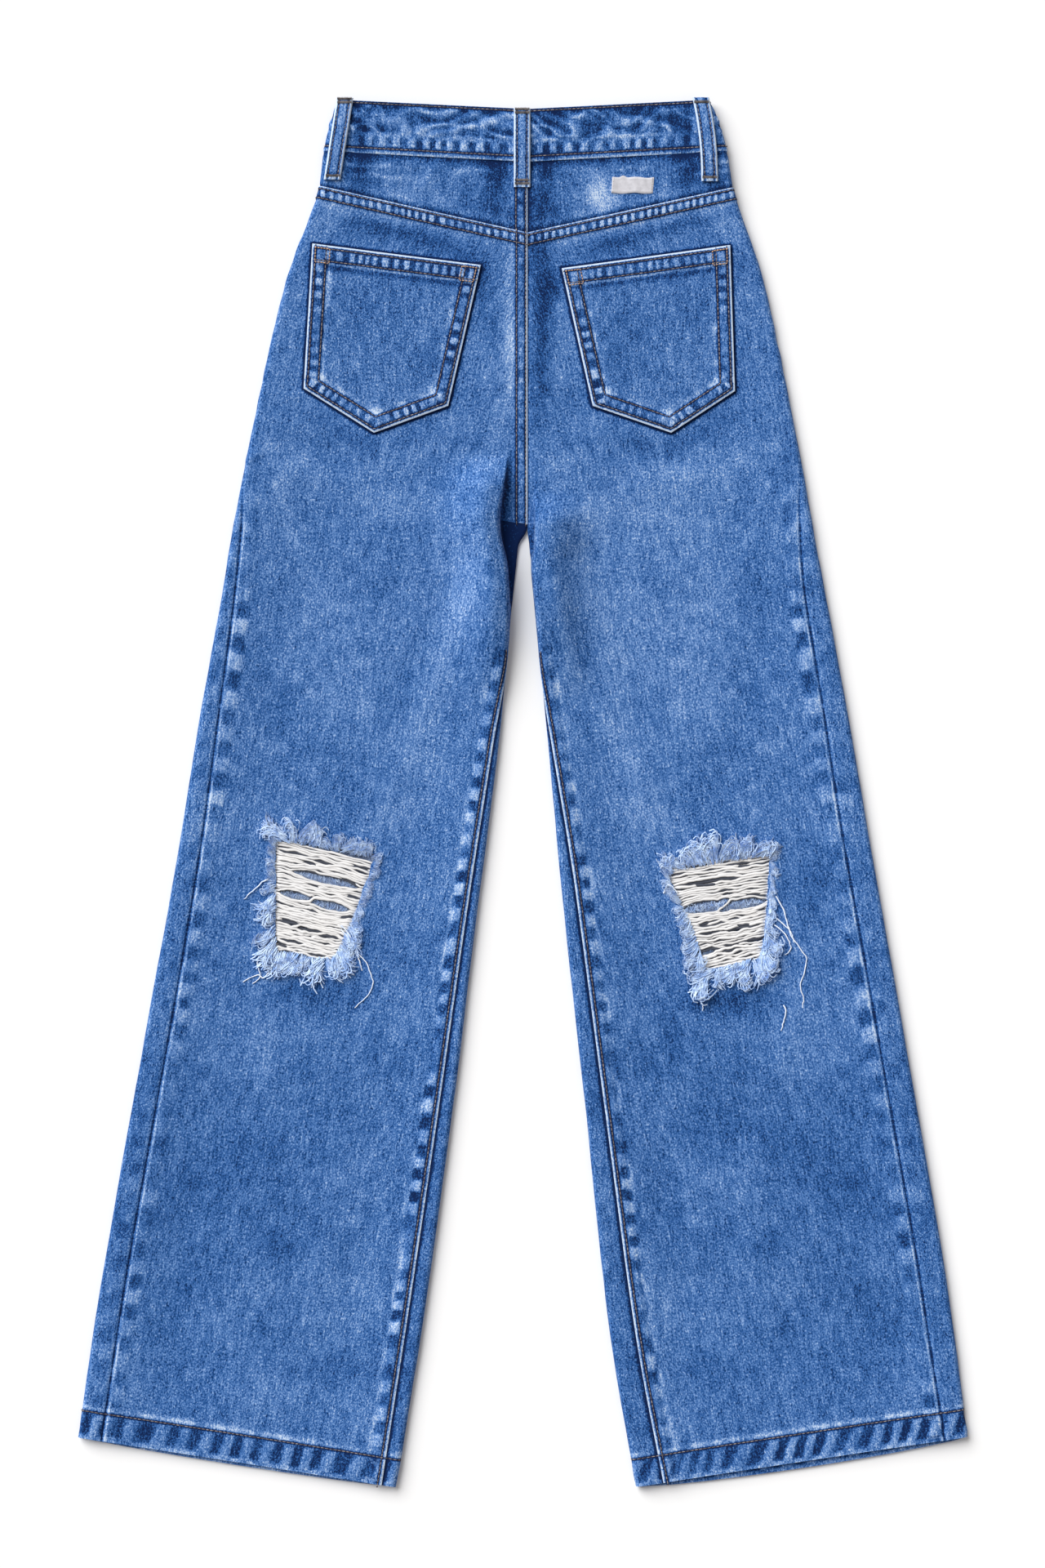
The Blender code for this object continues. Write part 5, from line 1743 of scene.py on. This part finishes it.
def rip_box(side):
    """Corners of the hole in X: top left, top right, low right and low left."""
    outer_top, inner_top, inner_low, outer_low = np.array(on_side(side, RIPS[side.name].hole))
    if side.sign < 0:
        return outer_top, inner_top, inner_low, outer_low
    return inner_top, outer_top, outer_low, inner_low


def across_hole(side, down, share):
    """Points across the hole, at a share of its height and shares of its width."""
    top_left, top_right, low_right, low_left = [
        corner + (0, by) for corner, by in zip(rip_box(side), RIPS[side.name].slant)]
    left = mix(top_left, low_left, down)
    right = mix(top_right, low_right, down)
    return left + (right - left) * np.asarray(share, float)[:, None]


def rip_level(side):
    """Height at which the bare yarns run."""
    centre = np.mean(rip_box(side), axis=0)
    return height_over(side, side.sign * centre[0], centre[1]) - sizes().denim / MM + 0.95


def sunk_yarns(side):
    """Where single yarns have sunk: yarn, and middle and half length as shares."""
    random = np.random.default_rng(side.seed + 520)
    yarns = RIPS[side.name].yarns
    found = []
    for k in range(11):
        order = int((k + random.uniform(0, 1)) * yarns / 11)
        found.append((order, random.uniform(0.06, 0.94), random.uniform(0.06, 0.15)))
    return found


def yarn_path(side, order, samples, deep):
    """A weft yarn across the hole; order is its place from the top, deep one of the lower layer."""
    rip = RIPS[side.name]
    share = np.linspace(-0.06, 1.06, samples)
    line = across_hole(side, (order + 0.5) / rip.yarns, share)
    shift = np.zeros(samples)
    for gap in rip.gaps:
        middle, half = (gap.start + gap.end) / 2, (gap.end - gap.start) / 2
        lens = np.clip(1 - ((share - middle) / half) ** 2, 0, 1) ** 0.6
        off = order - gap.yarn - 0.5 - 1e-3
        # a wide gap pushes more yarns aside than a slit does
        amount, reach = (0.5, 3.2) if gap.high > WIDE_GAP else (0.36, 1.4)
        push = amount * gap.high * lens * math.exp(-(abs(off) - 0.5) / reach)
        if deep:
            push = push * smooth((gap.high - 3.8) / 1.0)
        shift += push if off < 0 else -push
    run = share * YARN_RUN
    bundle = int(order / 2.4)
    waves = (0.75 * wander(run + 31 * bundle, 9, side.seed + bundle)
             + 0.38 * wander(run, 5, side.seed + 60 + int(order))
             + 0.16 * wander(run, 2.2, side.seed + 80 + int(order)))
    dip = -1.0 * (1 - smooth(share / 0.06) * smooth((1 - share) / 0.06))
    return np.column_stack([line[:, 0], line[:, 1] + shift + waves, dip]), run


def make_yarns(side):
    """Bare weft yarns across the hole, two deep, bunched between the gaps."""
    rip = RIPS[side.name]
    random = np.random.default_rng(side.seed + 500)
    level = rip_level(side)
    wide = sizes().yarn / MM / 2
    sunk = sunk_yarns(side)
    paths, radii, shade_tints = [], [], []
    for k in range(rip.yarns):
        path, run = yarn_path(side, k, 64, False)
        if random.random() < 0.22:
            bump = random.uniform(0.2, 0.8) * YARN_RUN
            path[:, 1] += random.choice((-1, 1)) * 0.9 * ridge(run, bump, 4.2)
        for order, middle, half in sunk:
            if order == k:
                path[:, 2] -= 1.45 * smooth(1.6 * (1 - abs(run / YARN_RUN - middle) / half))
        path[:, 2] += (level + 0.26 * wander(run + 17 * k, 12, side.seed + 90 + k)
                       + random.uniform(-0.2, 0.35))
        path[:, 2] = np.maximum(path[:, 2], YARN_LOWEST)
        paths.append(path)
        radii.append(wide * random.uniform(0.75, 1.2) * (1 + 0.24 * wander(run, 4, side.seed + 200 + k)))
        shade_tints.append(random.uniform(0.88, 1.0))
    # a lower layer of near-black yarns: painted shade in the slits between the top ones
    for k in range(rip.yarns - 1):
        path, run = yarn_path(side, k + 0.5, 30, True)
        path[:, 2] += level - 0.72 + 0.1 * wander(run, 9, side.seed + 300 + k)
        paths.append(path)
        radii.append(wide * 1.05 * np.ones(len(run)))
        shade_tints.append(0.02)
    obj = tubes(f"bare_yarns_{side.name}", paths, radii, yarn_material(), 6, 0.62, shade_tints)
    finish(obj, [f"rip_yarns_{side.name}"])


WARM_YARN = (0.8, 0.75, 0.68)
YARN_SHADE = (0.05, 0.058, 0.082)


def yarn_material():
    """Cream cotton yarn with twisted fibres, with painted shade where its tint is low: on its sides and in
    the lower layer.
    """
    name = "yarn_twist"
    if name in bpy.data.materials:
        return bpy.data.materials[name]
    pick = colours().yarn
    material, tree, shader = new_material(
        name, 0.9, Sheen_Weight=0.1, Sheen_Roughness=0.6, Specular_IOR_Level=0.15)
    place = object_place(tree)
    strands = noise(place, (160, 1500, 1500), 2.0, 0.6)
    cream = mixed(strands, shifted(pick, 0.74), shifted(pick, 1.16))
    warmed = mixed(noise(place, 60.0) * 0.35, cream, WARM_YARN)
    surfaced(shader, mixed(attribute(tree, "tint", "Fac"), YARN_SHADE, warmed), strands, 0.5, 0.25)
    return material


def swung(way, angle):
    """A flat direction turned about Z."""
    c, s = math.cos(angle), math.sin(angle)
    return way[0] * c - way[1] * s, way[0] * s + way[1] * c, 0.0


def fringe_fibres(side, random):
    """Roots, leans and curls of the fibres round the hole, in tufts."""
    pairs = np.reshape(RIPS[side.name].fringe, (-1, 2, 2))
    fibres = []
    for (root, tip), (root_next, tip_next) in zip(pairs, np.roll(pairs, -1, axis=0)):
        span = math.hypot(root_next[0] - root[0], root_next[1] - root[1])
        tufts = max(1, round(span / TUFT_WIDTH))
        for tuft in range(tufts):
            gather = random.uniform(0.1, 0.75)
            swing = random.normal(0, 0.3)
            high = random.uniform(0.72, 1.08)
            curled = random.uniform(0, 1) < 0.6
            turn = random.integers(0, 2)
            for _ in range(int(span / tufts * FIBRES_PER_MM)):
                own = random.uniform(0, 1)
                start = np.array(mix_point(root, root_next, (tuft + own) / tufts))
                end = np.array(mix_point(tip, tip_next, (tuft + mix(own, 0.5, gather)) / tufts))
                far = math.hypot(*(end - start))
                way = (end - start) / far
                start = start + way * random.uniform(-1.8, 0.3 * far)
                reach = way * max(far, 5.5) * random.uniform(0.5, 1.0) * high
                lean = swung(reach, swing + random.normal(0, 0.16))
                fibres.append(((*start, random.uniform(0.0, 1.0)), lean,
                               turn + 2 * random.integers(1 if curled else 0, 4 if curled else 2)))
    roots, leans, curls = map(np.array, zip(*fibres))
    roots[:, 2] += height_map(side, side.sign * roots[:, 0], roots[:, 1]) + 0.05
    return roots, leans, curls


def gap_fibres(side, random):
    """Remains of the warp in the wide gaps between the yarns."""
    rip = RIPS[side.name]
    level = rip_level(side)
    fibres = []
    for gap in (gap for gap in rip.gaps if gap.high >= WIDE_GAP):
        for _ in range(int((gap.end - gap.start) * 150)):
            share = random.uniform(gap.start, gap.end)
            x, y = across_hole(side, (gap.yarn + 1) / rip.yarns, [share])[0]
            rise = random.choice((-1, 1))
            length = gap.high * random.uniform(0.4, 0.9)
            lean = random.normal(0, 0.5)
            root = (x, y - rise * gap.high * random.uniform(0.2, 0.6), level - random.uniform(0.7, 1.2))
            fibres.append((root, (length * math.sin(lean), rise * length * math.cos(lean), 0.0),
                           random.integers(0, 6)))
    return map(np.array, zip(*fibres))


def make_fringe(side):
    """The frayed edge of the hole, and the fibres left in its wide gaps."""
    random = np.random.default_rng(side.seed + 600)
    roots, leans, curls = (np.concatenate(both) for both in zip(
        fringe_fibres(side, random), gap_fibres(side, random)))
    mesh = bpy.data.meshes.new("fringe_roots")
    mesh.from_pydata((roots * MM).tolist(), [], [])
    lean = mesh.attributes.new("lean", "FLOAT_VECTOR", "POINT")
    lean.data.foreach_set("vector", (leans * MM).astype(np.float32).ravel())
    mesh.attributes.new("curl", "INT", "POINT").data.foreach_set("value", curls.astype(np.int32))
    fibre = fibre_material("frayed_fibre", (0.24, 0.39, 0.71), (0.62, 0.76, 0.96), 260, 0.36, 0.64)
    obj = grown(f"frayed_edge_{side.name}", mesh, shared("frayed_fibres", fibre_tree),
                {"Width": sizes().fibre, "Seed": side.seed, "Fibre": fibre})
    finish(obj, [f"rip_fringe_{side.name}"])


def make_threads(side):
    """Long threads that have pulled out of the cloth."""
    rip = RIPS[side.name]
    paths, radii = [], []
    for order, thread in enumerate(rip.threads):
        path = smooth_path(thread, 10 * len(thread))
        base = height_map(side, side.sign * path[:, 0], path[:, 1])
        steps = np.arange(len(path))
        path[:, 0] += (0.8 * wander(steps, 7, side.seed + 700 + order)
                       + 0.3 * wander(steps, 2.5, side.seed + 720))
        path[:, 2] += base + 0.2
        paths.append(path)
        radii.append(np.linspace(0.5, 0.28, len(path)))
    obj = tubes(f"loose_threads_{side.name}", paths, radii,
                fibre_material("loose_thread", (0.66, 0.78, 0.98), (0.92, 0.96, 1.0), 400), sides=5)
    finish(obj, [])


# ---- operators


class JEANS_OT_legs(bpy.types.Operator):
    """Makes the front and back panels of both legs with their hems and seams"""

    bl_idname = "jeans.legs"
    bl_label = "Leg panels"

    def execute(self, context):
        for side in SIDES:
            make_front(side)
            make_back(side)
        return {"FINISHED"}


class JEANS_OT_yokes(bpy.types.Operator):
    """Makes the two halves of the yoke"""

    bl_idname = "jeans.yokes"
    bl_label = "Yokes"

    def execute(self, context):
        for side in SIDES:
            make_yoke(side)
        return {"FINISHED"}


class JEANS_OT_pockets(bpy.types.Operator):
    """Makes the patch pockets and their stitching"""

    bl_idname = "jeans.pockets"
    bl_label = "Back pockets"

    def execute(self, context):
        for side in SIDES:
            make_pocket(side)
        return {"FINISHED"}


class JEANS_OT_waistband(bpy.types.Operator):
    """Makes the waistband and its stitching"""

    bl_idname = "jeans.waistband"
    bl_label = "Waistband"

    def execute(self, context):
        make_waistband()
        return {"FINISHED"}


class JEANS_OT_loops(bpy.types.Operator):
    """Makes the belt loops with their stitches and bar tacks"""

    bl_idname = "jeans.loops"
    bl_label = "Belt loops"

    def execute(self, context):
        rows, tacks = [], []
        for loop in BACK_LOOPS:
            new_rows, new_tacks = make_back_loop(loop)
            rows += new_rows
            tacks += new_tacks
        sew("stitches_loops", rows)
        plain = colours().thread
        worn = fibre_material("loop_tack_thread", shifted(plain, 0.2), shifted(plain, 0.7), 300)
        sew("tacks_loops", tacks, thread=worn, pitch=2.4 * MM, width=0.62 * MM, length=1.0, pit=0.2)
        for loop in FRONT_LOOPS:
            make_front_loop(loop)
        return {"FINISHED"}


class JEANS_OT_label(bpy.types.Operator):
    """Makes the bare label on the yoke"""

    bl_idname = "jeans.label"
    bl_label = "Label"

    def execute(self, context):
        make_label()
        return {"FINISHED"}


class JEANS_OT_rips(bpy.types.Operator):
    """Makes the bare yarns, frayed edges and loose threads of the rips"""

    bl_idname = "jeans.rips"
    bl_label = "Rips"

    def execute(self, context):
        for side in SIDES:
            make_yarns(side)
            make_fringe(side)
            make_threads(side)
        return {"FINISHED"}


class JEANS_OT_closures(bpy.types.Operator):
    """Finishes the hidden zip and the waist button"""

    bl_idname = "jeans.closures"
    bl_label = "Zip and button"

    def execute(self, context):
        brass = metal_material("aged_brass", (0.5, 0.33, 0.16), (0.22, 0.14, 0.07))
        tape = fibre_material("zip_tape", (0.02, 0.035, 0.09), (0.05, 0.08, 0.17), 900)
        for name, material in (("waist_button", brass), ("fly_zip", tape)):
            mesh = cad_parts[name].data
            mesh.materials.clear()
            mesh.materials.append(material)
        return {"FINISHED"}


class JEANS_OT_stage(bpy.types.Operator):
    """Makes the plain floor, the soft light and the camera straight above"""

    bl_idname = "jeans.stage"
    bl_label = "Floor, light and camera"

    def execute(self, context):
        scene = context.scene
        mesh = bpy.data.meshes.new("floor")
        mesh.from_pydata([(-6, -6, 0), (6, -6, 0), (6, 6, 0), (-6, 6, 0)], [], [(0, 1, 2, 3)])
        floor = placed("floor", mesh)
        material, tree, shader = new_material("floor_paint", 0.9, Specular_IOR_Level=0.1)
        grain = noise(object_place(tree), 40.0)
        pick = colours().floor
        put(mixed(grain, shifted(pick, 0.995), shifted(pick, 1.005)), shader.inputs["Base Color"])
        mesh.materials.append(material)
        floor.location.z = -0.0002

        world = bpy.data.worlds.new("studio")
        world.use_nodes = True
        back = world.node_tree.nodes["Background"]
        back.inputs["Color"].default_value = (1.0, 0.95, 0.915, 1)
        back.inputs["Strength"].default_value = 0.36
        scene.world = world

        lamp = bpy.data.lights.new("key", "SUN")
        lamp.energy = 4.3
        lamp.angle = math.radians(50)
        lamp.color = (0.98, 0.99, 1.0)
        key = placed("key", lamp)
        key.rotation_euler = Vector((1.0, -1.1, -1.1)).to_track_quat("-Z", "Y").to_euler()

        lens = bpy.data.cameras.new("camera")
        lens.sensor_width = 36.0
        lens.lens = 85.0
        lens.clip_start = 0.05
        lens.clip_end = 30.0
        camera = placed("camera", lens)
        framed = 1.0944
        camera.location = (-0.0003, 0.0063, framed * 85.0 / 36.0 + 0.005)
        scene.camera = camera
        scene.view_settings.view_transform = "Standard"
        scene.view_settings.look = "None"
        return {"FINISHED"}


class JEANS_PT_panel(bpy.types.Panel):
    """Lists the steps that dress the jeans"""

    bl_label = "Jeans"
    bl_idname = "JEANS_PT_panel"
    bl_space_type = "VIEW_3D"
    bl_region_type = "UI"
    bl_category = "Jeans"

    def draw(self, context):
        layout = self.layout
        for group in (context.scene.jeans_sizes, context.scene.jeans_colours):
            box = layout.box()
            for key in group.__annotations__:
                box.prop(group, key)
        for operator in STEPS:
            layout.operator(operator.bl_idname)


STEPS = (
    JEANS_OT_legs, JEANS_OT_yokes, JEANS_OT_waistband, JEANS_OT_pockets, JEANS_OT_loops,
    JEANS_OT_label, JEANS_OT_rips, JEANS_OT_closures, JEANS_OT_stage)
CLASSES = (JeansSizes, JeansColours, *STEPS, JEANS_PT_panel)


def register():
    for entry in CLASSES:
        bpy.utils.register_class(entry)
    bpy.types.Scene.jeans_sizes = bpy.props.PointerProperty(type=JeansSizes)
    bpy.types.Scene.jeans_colours = bpy.props.PointerProperty(type=JeansColours)


def unregister():
    del bpy.types.Scene.jeans_colours
    del bpy.types.Scene.jeans_sizes
    for entry in reversed(CLASSES):
        bpy.utils.unregister_class(entry)


def main():
    register()
    for name in ("Cube", "Light", "Camera"):
        if name in bpy.data.objects:
            bpy.data.objects.remove(bpy.data.objects[name])
    for step in STEPS:
        getattr(bpy.ops.jeans, step.bl_idname.split(".")[1])()


if __name__ == "__main__":
    main()
